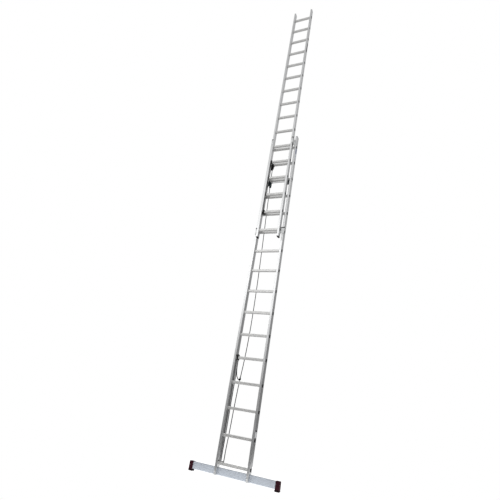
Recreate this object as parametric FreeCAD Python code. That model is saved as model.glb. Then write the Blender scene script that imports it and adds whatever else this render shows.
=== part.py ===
import FreeCAD
import Part
import math
import os

# Two-section extension ladder worked by a rope. Millimetres, +Z up the stiles, +X to the right
# of the climber's side, -Y to the front. The fly section stands in front of the base section and
# is drawn out by ten rungs. The origin is on the ground, in the middle of the whole outline.

# Rungs and sections
RUNGS = 16
PITCH = 280.0
RUNG_SIZE = 30.0
RUNG_WALL = 1.6
RUNG_RADIUS = 3.0
RUNGS_DRAWN_OUT = 10
FIRST_RUNG_Z = 133.0
BELOW_FIRST_RUNG = 107.0
ABOVE_LAST_RUNG = 175.0

# Stiles: hollow rectangles, thickness along X and depth along Y
BASE_WIDTH = 400.0
FLY_WIDTH = 318.0
STILE_THICK = 25.0
BASE_DEPTH = 73.0
FLY_DEPTH = 62.0
STILE_WALL = 2.0
STILE_RADIUS = 2.5
SECTION_GAP = 2.0
GROOVE_WIDTH = 4.0
GROOVE_DEPTH = 0.6
GROOVE_INSET = 10.0

# Stabiliser bar across the foot of the base section, let into the back of its stiles
BAR_SPAN = 1056.0
BAR_HEIGHT = 70.0
BAR_DEPTH = 40.0
BAR_WALL = 2.5
BAR_BELOW_RUNG = 41.0
BAR_FRONT = 2.0
FOOT_WIDTH = 46.0
FOOT_WALL = 4.0
SOLE_HEIGHT = 18.0
SOLE_BULGE = 4.0
SOLE_RADIUS = 7.0

# Guides that hold the two sections together
GUIDE_HEIGHT = 84.0
GUIDE_PLATE = 3.0
GUIDE_LIP = 20.0
GUIDE_PLAY = 0.5
GUIDE_TAB = 15.0
TOP_BOLT_Y = -26.0
LOW_BOLT_Y = 22.0
STOP_BOLT_Y = 20.0
GUIDE_BOLT_R = 3.0
BAR_BOLT_R = 4.0
BOLT_PLAY = 0.1
BAR_BOLT_HEAD_R = 9.0
TOP_BOLT_HEAD_R = 5.0
LOW_BOLT_HEAD_R = 4.5
BOLT_HEAD_THICK = 3.0
TOP_BOLT_INSET = 20.0
LOW_BOLT_INSET = 14.0
HOOK_RETURN = 17.0
PLUG_FLANGE = 33.0
PLUG_THICK = 2.0
PLUG_DEPTH = 10.0
SPIGOT_PLAY = 0.2
SPIGOT_DEPTH = 25.0
CAP_HEIGHT = 16.0
END_PLUG_THICK = 5.0
FOOT_PLUG_THICK = 4.0

# Rope and pulley
ROPE_D = 10.0
ROPE_X = -139.0
SHEAVE_PITCH_R = 28.0
SHEAVE_WIDTH = 22.0
SHEAVE_BELOW_RUNG = 55.0
AXLE_R = 5.0
BLOCK_WIDTH = 60.0
BORE_PLAY = 0.05
BLOCK_WALL = 4.0
SADDLE_THICK = 5.0
CHEEK_R = 16.0
PIN_HEAD_R = 8.0
PIN_HEAD_THICK = 3.0
CLEARANCE = 0.3
ANCHOR_X = -150.0
ANCHOR_UP = 2.0
ANCHOR_R = 12.0
CLEAT_X = -160.5
CLEAT_KNOT_WIDTH = 26.0
CLEAT_RUNG = 4
HITCH_X = -116.0
HITCH_RUNG = 1
KNOT_WIDTH = 34.0
KNOT_HALF = 26.0
KNOT_RADIUS = 9.0
SPARE_X = -126.5
SPARE_KNOT_WIDTH = 20.0
SPARE_RUNGS_UP = 3
TAIL_DROP = 219.0
TAIL_RING_X = -103.3
TAIL_RING_HEIGHT = 26.0
TAIL_RING_R = 12.5
TAIL_RING_BORE_R = 6.8

# Rung lock: two pawls on a cross shaft, below the fourteenth base rung
LOCK_RUNG = 13
LOCK_BELOW_RUNG = 37.0
LOCK_SWING = 100.0
PAWL_WIDTH = 24.0
PAWL_INNER_X = 104.0
PAWL_BEARING = 24.0
HOUSING_WIDTH = 45.0
HOUSING_DEPTH = 38.0
HOUSING_BELOW = 40.0
HUB_R = 12.0

# Distances that follow from the sizes above
BASE_TOP = FIRST_RUNG_Z + (RUNGS - 1) * PITCH + ABOVE_LAST_RUNG
BASE_BOTTOM = FIRST_RUNG_Z - BELOW_FIRST_RUNG
LIFT = RUNGS_DRAWN_OUT * PITCH
SECTION_STEP = (BASE_DEPTH + FLY_DEPTH) / 2 + SECTION_GAP
FRONT_REACH = SECTION_STEP + FLY_DEPTH / 2 + GUIDE_PLAY + GUIDE_PLATE
BACK_REACH = BAR_FRONT + BAR_DEPTH + FOOT_WALL + SOLE_BULGE
BASE_Y = (FRONT_REACH - BACK_REACH) / 2
FLY_Y = BASE_Y - SECTION_STEP
BAR_TOP = FIRST_RUNG_Z - BAR_BELOW_RUNG
BAR_BOTTOM = BAR_TOP - BAR_HEIGHT
ROPE_R = ROPE_D / 2
HAUL_Y = BASE_Y + SHEAVE_PITCH_R
FLY_ROPE_Y = BASE_Y - SHEAVE_PITCH_R

CUT_MARGIN = 5.0


def vec(x, y, z):
    return FreeCAD.Vector(x, y, z)


def base_rung_z(number):
    return FIRST_RUNG_Z + number * PITCH


def fly_rung_z(number):
    return base_rung_z(number) + LIFT


def box(x0, x1, y0, y1, z0, z1):
    return Part.makeBox(x1 - x0, y1 - y0, z1 - z0, vec(x0, y0, z0))


def cylinder(radius, length, start, direction):
    return Part.makeCylinder(radius, length, start, direction)


def rod_x(radius, x0, x1, y, z):
    return cylinder(radius, x1 - x0, vec(x0, y, z), vec(1, 0, 0))


def rod_y(radius, y0, y1, x, z):
    return cylinder(radius, y1 - y0, vec(x, y0, z), vec(0, 1, 0))


def mirror_x(shape):
    return shape.mirror(vec(0, 0, 0), vec(1, 0, 0))


def fuse(shapes):
    return shapes[0].multiFuse(shapes[1:]).removeSplitter()


def group(shapes):
    return Part.makeCompound(shapes)


def fillet_along(shape, axis, radius):
    """Round every straight edge that runs along the named axis."""
    index = "xyz".index(axis)
    chosen = []
    for edge in shape.Edges:
        if len(edge.Vertexes) == 2:
            step = edge.Vertexes[1].Point - edge.Vertexes[0].Point
            if step.Length > 1e-6 and abs(step[index]) > 0.999 * step.Length:
                chosen.append(edge)
    return shape.makeFillet(radius, chosen)


def square_tube(x0, x1, y, z, size, wall, radius):
    """A square tube along X with rounded corners."""
    outer = box(x0, x1, y - size / 2, y + size / 2, z - size / 2, z + size / 2)
    inside = size - 2 * wall
    inner = box(x0 - 1, x1 + 1, y - inside / 2, y + inside / 2, z - inside / 2, z + inside / 2)
    return fillet_along(outer, "x", radius).cut(fillet_along(inner, "x", radius - wall))


def polygon_prism_x(points, x0, x1):
    """Extrude an outline given as (y, z) pairs along X."""
    corners = [vec(x0, y, z) for y, z in points]
    face = Part.Face(Part.makePolygon(corners + [corners[0]]))
    return face.extrude(vec(x1 - x0, 0, 0))


def polygon_prism_z(points, z0, z1):
    """Extrude an outline given as (x, y) pairs along Z."""
    corners = [vec(x, y, z0) for x, y in points]
    face = Part.Face(Part.makePolygon(corners + [corners[0]]))
    return face.extrude(vec(0, 0, z1 - z0))


# Sections

def stile(outer_x, y, depth, z0, z1, rung_zs):
    """Right-hand stile: a hollow rectangle with shallow grooves outside and square rung holes."""
    inner_x = outer_x - STILE_THICK
    body = box(inner_x, outer_x, y - depth / 2, y + depth / 2, z0, z1)
    body = fillet_along(body, "z", STILE_RADIUS)
    hollow = box(inner_x + STILE_WALL, outer_x - STILE_WALL,
                 y - depth / 2 + STILE_WALL, y + depth / 2 - STILE_WALL,
                 z0 - CUT_MARGIN, z1 + CUT_MARGIN)
    cuts = [hollow]
    for side in (-1, 1):
        groove_y = y + side * (depth / 2 - GROOVE_INSET)
        cuts.append(box(outer_x - GROOVE_DEPTH, outer_x + CUT_MARGIN,
                        groove_y - GROOVE_WIDTH / 2, groove_y + GROOVE_WIDTH / 2,
                        z0 - CUT_MARGIN, z1 + CUT_MARGIN))
    half = RUNG_SIZE / 2
    for z in rung_zs:
        hole = box(inner_x - CUT_MARGIN, outer_x + CUT_MARGIN, y - half, y + half, z - half, z + half)
        cuts.append(fillet_along(hole, "x", RUNG_RADIUS - 1.0))
    return body.cut(cuts)


def base_stile():
    """The back of its foot is cut away for the stabiliser bar, and its front runs on down."""
    rungs = [base_rung_z(n) for n in range(RUNGS)]
    shape = stile(BASE_WIDTH / 2, BASE_Y, BASE_DEPTH, BASE_BOTTOM, BASE_TOP, rungs)
    x0 = BASE_WIDTH / 2 - STILE_THICK
    notch = box(x0 - CUT_MARGIN, x0 + STILE_THICK + CUT_MARGIN,
                BASE_Y + BAR_FRONT, BASE_Y + BASE_DEPTH,
                BASE_BOTTOM - CUT_MARGIN, BAR_TOP)
    lock_hole = rod_x(AXLE_R + BORE_PLAY, x0 - CUT_MARGIN, x0 + STILE_THICK + CUT_MARGIN,
                      BASE_Y, lock_z())
    bolt_hole = rod_y(BAR_BOLT_R + BOLT_PLAY, BASE_Y - BASE_DEPTH, BASE_Y + BAR_FRONT + 1,
                      bar_bolt_x(), bar_bolt_z())
    holes = [notch, lock_hole, bolt_hole]
    for z in top_guide_bolt_zs():
        holes.append(rod_x(GUIDE_BOLT_R + BOLT_PLAY, x0 - CUT_MARGIN,
                           x0 + STILE_THICK + CUT_MARGIN, BASE_Y + TOP_BOLT_Y, z))
    return shape.cut(holes)


def fly_stile():
    rungs = [fly_rung_z(n) for n in range(RUNGS)]
    shape = stile(FLY_WIDTH / 2, FLY_Y, FLY_DEPTH, BASE_BOTTOM + LIFT, BASE_TOP + LIFT, rungs)
    x0 = FLY_WIDTH / 2 - STILE_THICK
    holes = []
    for z in low_guide_bolt_zs():
        holes.append(rod_x(GUIDE_BOLT_R + BOLT_PLAY, x0 - CUT_MARGIN,
                           x0 + STILE_THICK + CUT_MARGIN, FLY_Y + LOW_BOLT_Y, z))
    holes.append(rod_x(GUIDE_BOLT_R + BOLT_PLAY, x0 - CUT_MARGIN,
                       x0 + STILE_THICK + CUT_MARGIN, FLY_Y + STOP_BOLT_Y, stop_bolt_z()))
    return shape.cut(holes)


def rung(width, y, z):
    return square_tube(-width / 2, width / 2, y, z, RUNG_SIZE, RUNG_WALL, RUNG_RADIUS)


def rung_plug(width, y, z):
    """Plastic plug in the right-hand end of a rung: a thin flange and a spigot."""
    face_x = width / 2
    half = PLUG_FLANGE / 2
    flange = box(face_x, face_x + PLUG_THICK, y - half, y + half, z - half, z + half)
    flange = fillet_along(flange, "x", RUNG_RADIUS + 1.0)
    inside = (RUNG_SIZE - 2 * RUNG_WALL) / 2 - SPIGOT_PLAY
    spigot = box(face_x - PLUG_DEPTH, face_x, y - inside, y + inside, z - inside, z + inside)
    spigot = fillet_along(spigot, "x", RUNG_RADIUS - RUNG_WALL + 0.5)
    return fuse([flange, spigot])


def rung_plugs(width, y, rung_zs):
    plugs = []
    for z in rung_zs:
        plug = rung_plug(width, y, z)
        plugs.append(plug)
        plugs.append(mirror_x(plug))
    return group(plugs)


# Ends of the stiles

def stile_spigot(outer_x, y, depth, z0, z1):
    gap = STILE_WALL + SPIGOT_PLAY
    return box(outer_x - STILE_THICK + gap, outer_x - gap,
               y - depth / 2 + gap, y + depth / 2 - gap, z0, z1)


def base_top_cap():
    """Plastic cap with an arched top, its ends rounded front and back."""
    outer_x = BASE_WIDTH / 2
    cap = box(outer_x - STILE_THICK, outer_x, BASE_Y - BASE_DEPTH / 2, BASE_Y + BASE_DEPTH / 2,
              BASE_TOP, BASE_TOP + CAP_HEIGHT)
    arch = []
    for edge in cap.Edges:
        ends = [v.Point for v in edge.Vertexes]
        along_x = abs(ends[1].x - ends[0].x) > 1.0
        if along_x and min(p.z for p in ends) > BASE_TOP + CAP_HEIGHT - 0.1:
            arch.append(edge)
    cap = cap.makeFillet(CAP_HEIGHT - 1.0, arch)
    return fuse([cap, stile_spigot(outer_x, BASE_Y, BASE_DEPTH,
                             BASE_TOP - SPIGOT_DEPTH, BASE_TOP)])


def base_bottom_plug():
    """Plug in the front half of the base stile's foot, ahead of the bar."""
    outer_x = BASE_WIDTH / 2
    front = BASE_Y - BASE_DEPTH / 2
    back = BASE_Y + BAR_FRONT
    flange = box(outer_x - STILE_THICK, outer_x, front, back,
                 BASE_BOTTOM - FOOT_PLUG_THICK, BASE_BOTTOM)
    gap = STILE_WALL + SPIGOT_PLAY
    spigot = box(outer_x - STILE_THICK + gap, outer_x - gap, front + gap, back - SPIGOT_PLAY,
                 BASE_BOTTOM, BASE_BOTTOM + SPIGOT_DEPTH)
    return fuse([fillet_along(flange, "z", STILE_RADIUS), spigot])


def fly_end_plug(flange_z, toward):
    """Plug in one end of a fly stile. toward is 1 at the top and -1 at the bottom."""
    outer_x = FLY_WIDTH / 2
    low = min(flange_z, flange_z + toward * END_PLUG_THICK)
    flange = box(outer_x - STILE_THICK, outer_x, FLY_Y - FLY_DEPTH / 2, FLY_Y + FLY_DEPTH / 2,
                 low, low + END_PLUG_THICK)
    deep = flange_z - toward * SPIGOT_DEPTH
    spigot = stile_spigot(outer_x, FLY_Y, FLY_DEPTH, min(deep, flange_z), max(deep, flange_z))
    return fuse([fillet_along(flange, "z", STILE_RADIUS), spigot])


# Stabiliser bar

def bar_bolt_x():
    return (BASE_WIDTH - STILE_THICK) / 2


def bar_bolt_z():
    return BAR_TOP - BAR_HEIGHT / 2


def bar_tube_end():
    return BAR_SPAN / 2 - FOOT_WALL


def stabiliser_bar():
    y0 = BASE_Y + BAR_FRONT
    end = bar_tube_end()
    outer = fillet_along(box(-end, end, y0, y0 + BAR_DEPTH, BAR_BOTTOM, BAR_TOP), "x", 3.0)
    inner = box(-end - 1, end + 1, y0 + BAR_WALL, y0 + BAR_DEPTH - BAR_WALL,
                BAR_BOTTOM + BAR_WALL, BAR_TOP - BAR_WALL)
    holes = [inner]
    for side in (-1, 1):
        holes.append(rod_y(BAR_BOLT_R + BOLT_PLAY, y0 - 1, y0 + BAR_DEPTH + 1,
                           side * bar_bolt_x(), bar_bolt_z()))
    return outer.cut(holes)


def bar_foot():
    """Boot over the right-hand end of the bar, with a wider rounded sole that meets the ground."""
    y0 = BASE_Y + BAR_FRONT
    end = BAR_SPAN / 2
    sleeve = box(end - FOOT_WIDTH, end, y0 - FOOT_WALL, y0 + BAR_DEPTH + FOOT_WALL,
                 BAR_BOTTOM - FOOT_WALL - SOLE_BULGE, BAR_TOP + FOOT_WALL)
    sleeve = fillet_along(sleeve, "z", 3.0)
    sole = box(end - FOOT_WIDTH - SOLE_BULGE, end, y0 - FOOT_WALL - SOLE_BULGE,
               y0 + BAR_DEPTH + FOOT_WALL + SOLE_BULGE, 0, SOLE_HEIGHT)
    sole = fillet_along(sole, "z", SOLE_RADIUS)
    pocket = box(end - FOOT_WIDTH - 1, bar_tube_end(), y0, y0 + BAR_DEPTH, BAR_BOTTOM, BAR_TOP)
    return fuse([sleeve, sole]).cut(pocket)


def bar_bolt():
    """Domed head on the stile's front, shank through stile and bar, nut behind."""
    x = bar_bolt_x()
    z = bar_bolt_z()
    front = BASE_Y - BASE_DEPTH / 2
    back = BASE_Y + BAR_FRONT + BAR_DEPTH
    head = rod_y(BAR_BOLT_HEAD_R, front - 5.0, front, x, z)
    shank = rod_y(BAR_BOLT_R, front, back + 1.0, x, z)
    nut = rod_y(BAR_BOLT_HEAD_R - 1.0, back, back + 4.0, x, z)
    return fuse([head, shank, nut])


# Guides between the sections

def top_guide_z():
    return BASE_TOP - 150.0


def low_guide_z():
    return BASE_BOTTOM + LIFT + 62.0


def top_guide_bolt_zs():
    return [top_guide_z() + TOP_BOLT_INSET, top_guide_z() + GUIDE_HEIGHT - TOP_BOLT_INSET]


def low_guide_bolt_zs():
    return [low_guide_z() + LOW_BOLT_INSET, low_guide_z() + GUIDE_HEIGHT - LOW_BOLT_INSET]


def stop_bolt_z():
    return fly_rung_z(3) - 50.0


def top_guide_inner_x():
    """Inner face of the top guide's plate, clear of the fly rungs' plugs."""
    return FLY_WIDTH / 2 + PLUG_THICK + 1.5


def top_guide():
    """Bracket inside the base stile's top that reaches forward and laps over the fly stile."""
    base_inner = BASE_WIDTH / 2 - STILE_THICK
    plate_x = top_guide_inner_x()
    lip_y = FLY_Y - FLY_DEPTH / 2 - GUIDE_PLAY
    base_front = BASE_Y - BASE_DEPTH / 2
    outline = [
        (base_inner, base_front + 26.0),
        (base_inner, base_front),
        (plate_x + GUIDE_PLATE, base_front - 8.0),
        (plate_x + GUIDE_PLATE, lip_y - GUIDE_PLATE),
        (plate_x - GUIDE_LIP, lip_y - GUIDE_PLATE),
        (plate_x - GUIDE_LIP, lip_y),
        (plate_x, lip_y),
        (plate_x, base_front + 26.0),
    ]
    z0 = top_guide_z()
    bracket = polygon_prism_z(outline, z0, z0 + GUIDE_HEIGHT)
    holes = []
    for z in top_guide_bolt_zs():
        holes.append(rod_x(GUIDE_BOLT_R + BOLT_PLAY, plate_x - 1, base_inner + 1,
                           BASE_Y + TOP_BOLT_Y, z))
    return bracket.cut(holes)


def low_guide():
    """Bracket outside the fly stile's foot that reaches round the front of the base stile."""
    fly_outer = FLY_WIDTH / 2
    base_outer = BASE_WIDTH / 2
    base_front = BASE_Y - BASE_DEPTH / 2
    hook_x = base_outer + GUIDE_PLAY + PLUG_THICK
    front = base_front - GUIDE_PLAY
    outline = [
        (fly_outer, front - GUIDE_TAB),
        (fly_outer, front),
        (hook_x, front),
        (hook_x, front + HOOK_RETURN),
        (hook_x + GUIDE_PLATE, front + HOOK_RETURN),
        (hook_x + GUIDE_PLATE, front - GUIDE_PLATE),
        (fly_outer + GUIDE_PLATE, front - GUIDE_PLATE),
        (fly_outer + GUIDE_PLATE, front - GUIDE_TAB),
    ]
    z0 = low_guide_z()
    bracket = polygon_prism_z(outline, z0, z0 + GUIDE_HEIGHT)
    holes = []
    for z in low_guide_bolt_zs():
        holes.append(rod_x(GUIDE_BOLT_R + BOLT_PLAY, fly_outer - 1, fly_outer + GUIDE_PLATE + 1,
                           FLY_Y + LOW_BOLT_Y, z))
    return bracket.cut(holes)


def bolt_x(inner_x, outer_x, y, z, head_r):
    """A small bolt along X: head outside, nut inside."""
    head = rod_x(head_r, outer_x, outer_x + BOLT_HEAD_THICK, y, z)
    shank = rod_x(GUIDE_BOLT_R, inner_x, outer_x, y, z)
    nut = rod_x(head_r - 0.5, inner_x - BOLT_HEAD_THICK, inner_x, y, z)
    return fuse([head, shank, nut])


def base_bolts():
    """Through bolts of the stabiliser bar and of the two top guides."""
    inner_x = top_guide_inner_x()
    bolts = [bar_bolt()]
    for z in top_guide_bolt_zs():
        bolts.append(bolt_x(inner_x, BASE_WIDTH / 2, BASE_Y + TOP_BOLT_Y, z,
                            TOP_BOLT_HEAD_R))
    return group(bolts + [mirror_x(b) for b in bolts])


def fly_bolts():
    """Bolts of the two low guides, and the stop bolt in each fly stile."""
    inner_x = FLY_WIDTH / 2 - STILE_THICK
    outer_x = FLY_WIDTH / 2
    bolts = []
    for z in low_guide_bolt_zs():
        bolts.append(bolt_x(inner_x, outer_x + GUIDE_PLATE, FLY_Y + LOW_BOLT_Y, z,
                            LOW_BOLT_HEAD_R))
    bolts.append(bolt_x(inner_x, outer_x, FLY_Y + STOP_BOLT_Y, stop_bolt_z(), TOP_BOLT_HEAD_R))
    return group(bolts + [mirror_x(b) for b in bolts])


# Pulley under the fifteenth base rung

def sheave_z():
    return base_rung_z(14) - SHEAVE_BELOW_RUNG


def pulley_block():
    """Saddle round the rung's underside with two thick cheeks that carry the axle."""
    z_rung = base_rung_z(14)
    under = z_rung - RUNG_SIZE / 2
    half = BLOCK_WIDTH / 2
    deep = RUNG_SIZE / 2
    outer = deep + BLOCK_WALL
    x0 = ROPE_X - half
    x1 = ROPE_X + half
    saddle = box(x0, x1, BASE_Y - outer, BASE_Y + outer, under - SADDLE_THICK, under)
    front = box(x0, x1, BASE_Y - outer, BASE_Y - deep, under, z_rung + 8.0)
    back = box(x0, x1, BASE_Y + deep, BASE_Y + outer, under, z_rung + 8.0)
    cheeks = []
    near = SHEAVE_WIDTH / 2 + 1.0
    far = half - BLOCK_WALL
    for a, b in ((ROPE_X - far, ROPE_X - near), (ROPE_X + near, ROPE_X + far)):
        plate = box(a, b, BASE_Y - CHEEK_R, BASE_Y + CHEEK_R, sheave_z(), under - SADDLE_THICK)
        boss = rod_x(CHEEK_R, a, b, BASE_Y, sheave_z())
        cheeks.append(plate)
        cheeks.append(boss)
    block = fuse([saddle, front, back] + cheeks)
    return block.cut(rod_x(AXLE_R, x0 - 1, x1 + 1, BASE_Y, sheave_z()))


def pulley_axle():
    half = BLOCK_WIDTH / 2 - BLOCK_WALL
    end = half + PIN_HEAD_THICK
    pin = rod_x(AXLE_R, ROPE_X - half, ROPE_X + half, BASE_Y, sheave_z())
    heads = [rod_x(PIN_HEAD_R, ROPE_X - end, ROPE_X - half, BASE_Y, sheave_z()),
             rod_x(PIN_HEAD_R, ROPE_X + half, ROPE_X + end, BASE_Y, sheave_z())]
    return fuse([pin] + heads)


def pulley_sheave():
    """Grooved wheel, turned about X, with a running bore on the axle."""
    half = SHEAVE_WIDTH / 2
    rim = SHEAVE_PITCH_R + 3.0
    root = SHEAVE_PITCH_R - ROPE_R - CLEARANCE
    bore = AXLE_R + BORE_PLAY
    flat = ROPE_R + CLEARANCE
    z = sheave_z()
    outline = [(-half, bore), (half, bore), (half, rim), (flat + 2.5, rim), (flat, root),
               (-flat, root), (-flat - 2.5, rim), (-half, rim)]
    corners = [vec(ROPE_X + x, BASE_Y, z + r) for x, r in outline]
    face = Part.Face(Part.makePolygon(corners + [corners[0]]))
    return face.revolve(vec(ROPE_X, BASE_Y, z), vec(1, 0, 0), 360)


# Rung lock

def lock_z():
    return base_rung_z(LOCK_RUNG) - LOCK_BELOW_RUNG


def lock_shaft():
    """Cross shaft through both base stiles, with a head beyond each."""
    outer = BASE_WIDTH / 2
    shaft = rod_x(AXLE_R, -outer - 1.0, outer + 1.0, BASE_Y, lock_z())
    heads = [rod_x(PIN_HEAD_R, outer + 0.5, outer + 4.0, BASE_Y, lock_z()),
             rod_x(PIN_HEAD_R, -outer - 4.0, -outer - 0.5, BASE_Y, lock_z())]
    return fuse([shaft] + heads)


def lock_housing():
    """Block inside the right-hand base stile, hung from the rung above, that bears the shaft."""
    inner = BASE_WIDTH / 2 - STILE_THICK
    under = base_rung_z(LOCK_RUNG) - RUNG_SIZE / 2
    block = box(inner - HOUSING_WIDTH, inner,
                BASE_Y - HOUSING_DEPTH / 2, BASE_Y + HOUSING_DEPTH / 2,
                lock_z() - HOUSING_BELOW, under)
    block = fillet_along(block, "x", 5.0)
    block = block.cut(rod_x(AXLE_R + BORE_PLAY, inner - HOUSING_WIDTH - 1, inner + 1,
                            BASE_Y, lock_z()))
    return block


def lock_pawl():
    """Pawl on the right-hand side, hanging. Swung forward and up it bears under a fly rung."""
    reach = SECTION_STEP - RUNG_SIZE / 2 + PAWL_BEARING
    top = LOCK_BELOW_RUNG - RUNG_SIZE / 2 - 0.5
    outline = [(-5.0, 10.0), (-reach + 28.0, top), (-reach, top), (-reach - 2.0, top - 15.0),
               (-reach + 24.0, -6.0), (-4.0, -11.0)]
    points = [(BASE_Y + y, lock_z() + z) for y, z in outline]
    arm = polygon_prism_x(points, PAWL_INNER_X, PAWL_INNER_X + PAWL_WIDTH)
    arm = fillet_along(arm, "x", 2.0)
    hub = rod_x(HUB_R, PAWL_INNER_X, PAWL_INNER_X + PAWL_WIDTH, BASE_Y, lock_z())
    pawl = fuse([arm, hub])
    pawl = pawl.cut(rod_x(AXLE_R, PAWL_INNER_X - 1, PAWL_INNER_X + PAWL_WIDTH + 1,
                          BASE_Y, lock_z()))
    pawl.rotate(vec(0, BASE_Y, lock_z()), vec(1, 0, 0), LOCK_SWING)
    return pawl


# Rope

def rope_anchor():
    """Hook behind the lowest base rung that the rope turns round."""
    z = base_rung_z(0) + ANCHOR_UP
    back = BASE_Y + RUNG_SIZE / 2
    boss = rod_y(ANCHOR_R, back, HAUL_Y + ROPE_R + 1.0, ANCHOR_X, z)
    flange = rod_y(ANCHOR_R + 7.0, HAUL_Y + ROPE_R + 1.0, HAUL_Y + ROPE_R + 4.0, ANCHOR_X, z)
    return fuse([boss, flange])


def haul_route():
    """From the back of the sheave down behind the rungs to the anchor's right-hand side."""
    top = sheave_z()
    foot = base_rung_z(0) + ANCHOR_UP
    foot_x = ANCHOR_X + ANCHOR_R + ROPE_R + CLEARANCE
    places = [(ROPE_X, top), (ROPE_X, top - 130.0), (-126.0, 3493.0), (-107.0, 3003.0),
              (-90.0, 2533.0), (-77.0, 2083.0), (-73.0, 1583.0), (-86.0, 1223.0),
              (-107.0, 963.0), (-118.0, 693.0), (-124.0, 433.0), (foot_x, 263.0), (foot_x, foot)]
    return [vec(x, HAUL_Y, z) for x, z in places]


def return_route():
    """From the anchor's left-hand side up beside the stile to the knot on the fifth rung."""
    foot = base_rung_z(0) + ANCHOR_UP
    foot_x = ANCHOR_X - ANCHOR_R - ROPE_R - CLEARANCE
    knot = base_rung_z(CLEAT_RUNG) - KNOT_HALF
    return [vec(foot_x, HAUL_Y, foot), vec(foot_x, HAUL_Y, 260.0), vec(-164.0, HAUL_Y, 480.0),
            vec(-166.0, HAUL_Y, 720.0), vec(-165.0, HAUL_Y, 920.0),
            vec(-163.0, HAUL_Y - 2.0, 1060.0), vec(-162.0, HAUL_Y - 8.0, knot - 70.0),
            vec(-162.0, HAUL_Y - 8.0, knot)]


def tail_route():
    """Loose end: hangs from the knot and crosses to the haul strand above the fourth rung."""
    knot = base_rung_z(CLEAT_RUNG) - KNOT_HALF
    return [vec(-153.0, BASE_Y, knot), vec(-153.0, BASE_Y, knot - 52.0),
            vec(-151.0, BASE_Y + 1.0, knot - 105.0), vec(-146.0, BASE_Y + 4.0, knot - 157.0),
            vec(-136.0, BASE_Y + 12.0, knot - 200.0), vec(-118.0, BASE_Y + 22.0, knot - TAIL_DROP)]


def rope_tube(points):
    """Round tube along straight runs joined by tangent arcs."""
    edges = []
    start = points[0]
    length = 0.0
    for before, corner, after in zip(points, points[1:], points[2:]):
        into = (corner - before).normalize()
        out = (after - corner).normalize()
        turn = into.getAngle(out)
        cut = 0.45 * min((corner - before).Length, (after - corner).Length)
        arc_radius = cut / math.tan(turn / 2)
        print("  turn %.1f degrees, radius %.0f" % (math.degrees(turn), arc_radius))
        first = corner - into * cut
        last = corner + out * cut
        inward = (out - into).normalize()
        middle = corner + inward * (arc_radius / math.cos(turn / 2) - arc_radius)
        edges.append(Part.LineSegment(start, first).toShape())
        edges.append(Part.Arc(first, middle, last).toShape())
        length += (first - start).Length + arc_radius * turn
        start = last
    edges.append(Part.LineSegment(start, points[-1]).toShape())
    length += (points[-1] - start).Length
    tube = sweep(edges)
    section = math.pi * ROPE_R ** 2
    print("  length %.0f, volume over section times length %.4f"
          % (length, tube.Volume / (section * length)))
    return tube


def sweep(edges):
    """The rope's round section carried along joined edges."""
    first = edges[0]
    direction = first.tangentAt(first.FirstParameter)
    circle = Part.makeCircle(ROPE_R, first.valueAt(first.FirstParameter), direction)
    return Part.Wire(edges).makePipeShell([Part.Wire([circle])], True, True)


def half_ring(centre, radius, side, over):
    """Half a turn of rope round centre, from one side of it, over the given direction."""
    start = centre + side * radius
    middle = centre + over * radius
    return sweep([Part.Arc(start, middle, centre - side * radius).toShape()])


def rope_haul():
    """One rope: over the sheave, down to the anchor, round it and up to the knot."""
    sheave = vec(ROPE_X, BASE_Y, sheave_z())
    anchor = vec(ANCHOR_X, HAUL_Y, base_rung_z(0) + ANCHOR_UP)
    turn_radius = ANCHOR_R + ROPE_R + CLEARANCE
    print("haul strand")
    haul = rope_tube(haul_route())
    print("return strand")
    back = rope_tube(return_route())
    return group([half_ring(sheave, SHEAVE_PITCH_R, vec(0, -1, 0), vec(0, 0, 1)), haul,
                  half_ring(anchor, turn_radius, vec(1, 0, 0), vec(0, 0, -1)), back])


def rope_tail():
    print("tail")
    return rope_tube(tail_route())


def rope_fly_strand():
    """Taut strand from the front of the sheave down to the hitch on the fly's second rung."""
    low = fly_rung_z(HITCH_RUNG) + KNOT_HALF
    return cylinder(ROPE_R, sheave_z() - low, vec(ROPE_X, FLY_ROPE_Y, low), vec(0, 0, 1))


def knot_on_rung(x, width, y, z):
    """Plain block for rope turned round a rung, with a square hole for the rung."""
    half = KNOT_HALF
    turns = box(x - width / 2, x + width / 2, y - half, y + half, z - half, z + half)
    turns = fillet_along(turns, "x", KNOT_RADIUS)
    hole = RUNG_SIZE / 2 + CLEARANCE
    return turns.cut(box(x - width, x + width, y - hole, y + hole, z - hole, z + hole))


def base_knots():
    """The knot on the fifth rung, and the tail's hitch round the haul strand."""
    knot = knot_on_rung(CLEAT_X, CLEAT_KNOT_WIDTH, BASE_Y, base_rung_z(CLEAT_RUNG))
    z = base_rung_z(CLEAT_RUNG) - KNOT_HALF - TAIL_DROP
    up = vec(0, 0, 1)
    foot = vec(TAIL_RING_X, HAUL_Y, z - TAIL_RING_HEIGHT / 2 - 1.0)
    ring = cylinder(TAIL_RING_R, TAIL_RING_HEIGHT, foot, up)
    bore = cylinder(TAIL_RING_BORE_R, TAIL_RING_HEIGHT + 2 * CUT_MARGIN, foot - up * CUT_MARGIN, up)
    return group([knot, ring.cut(bore)])


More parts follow.
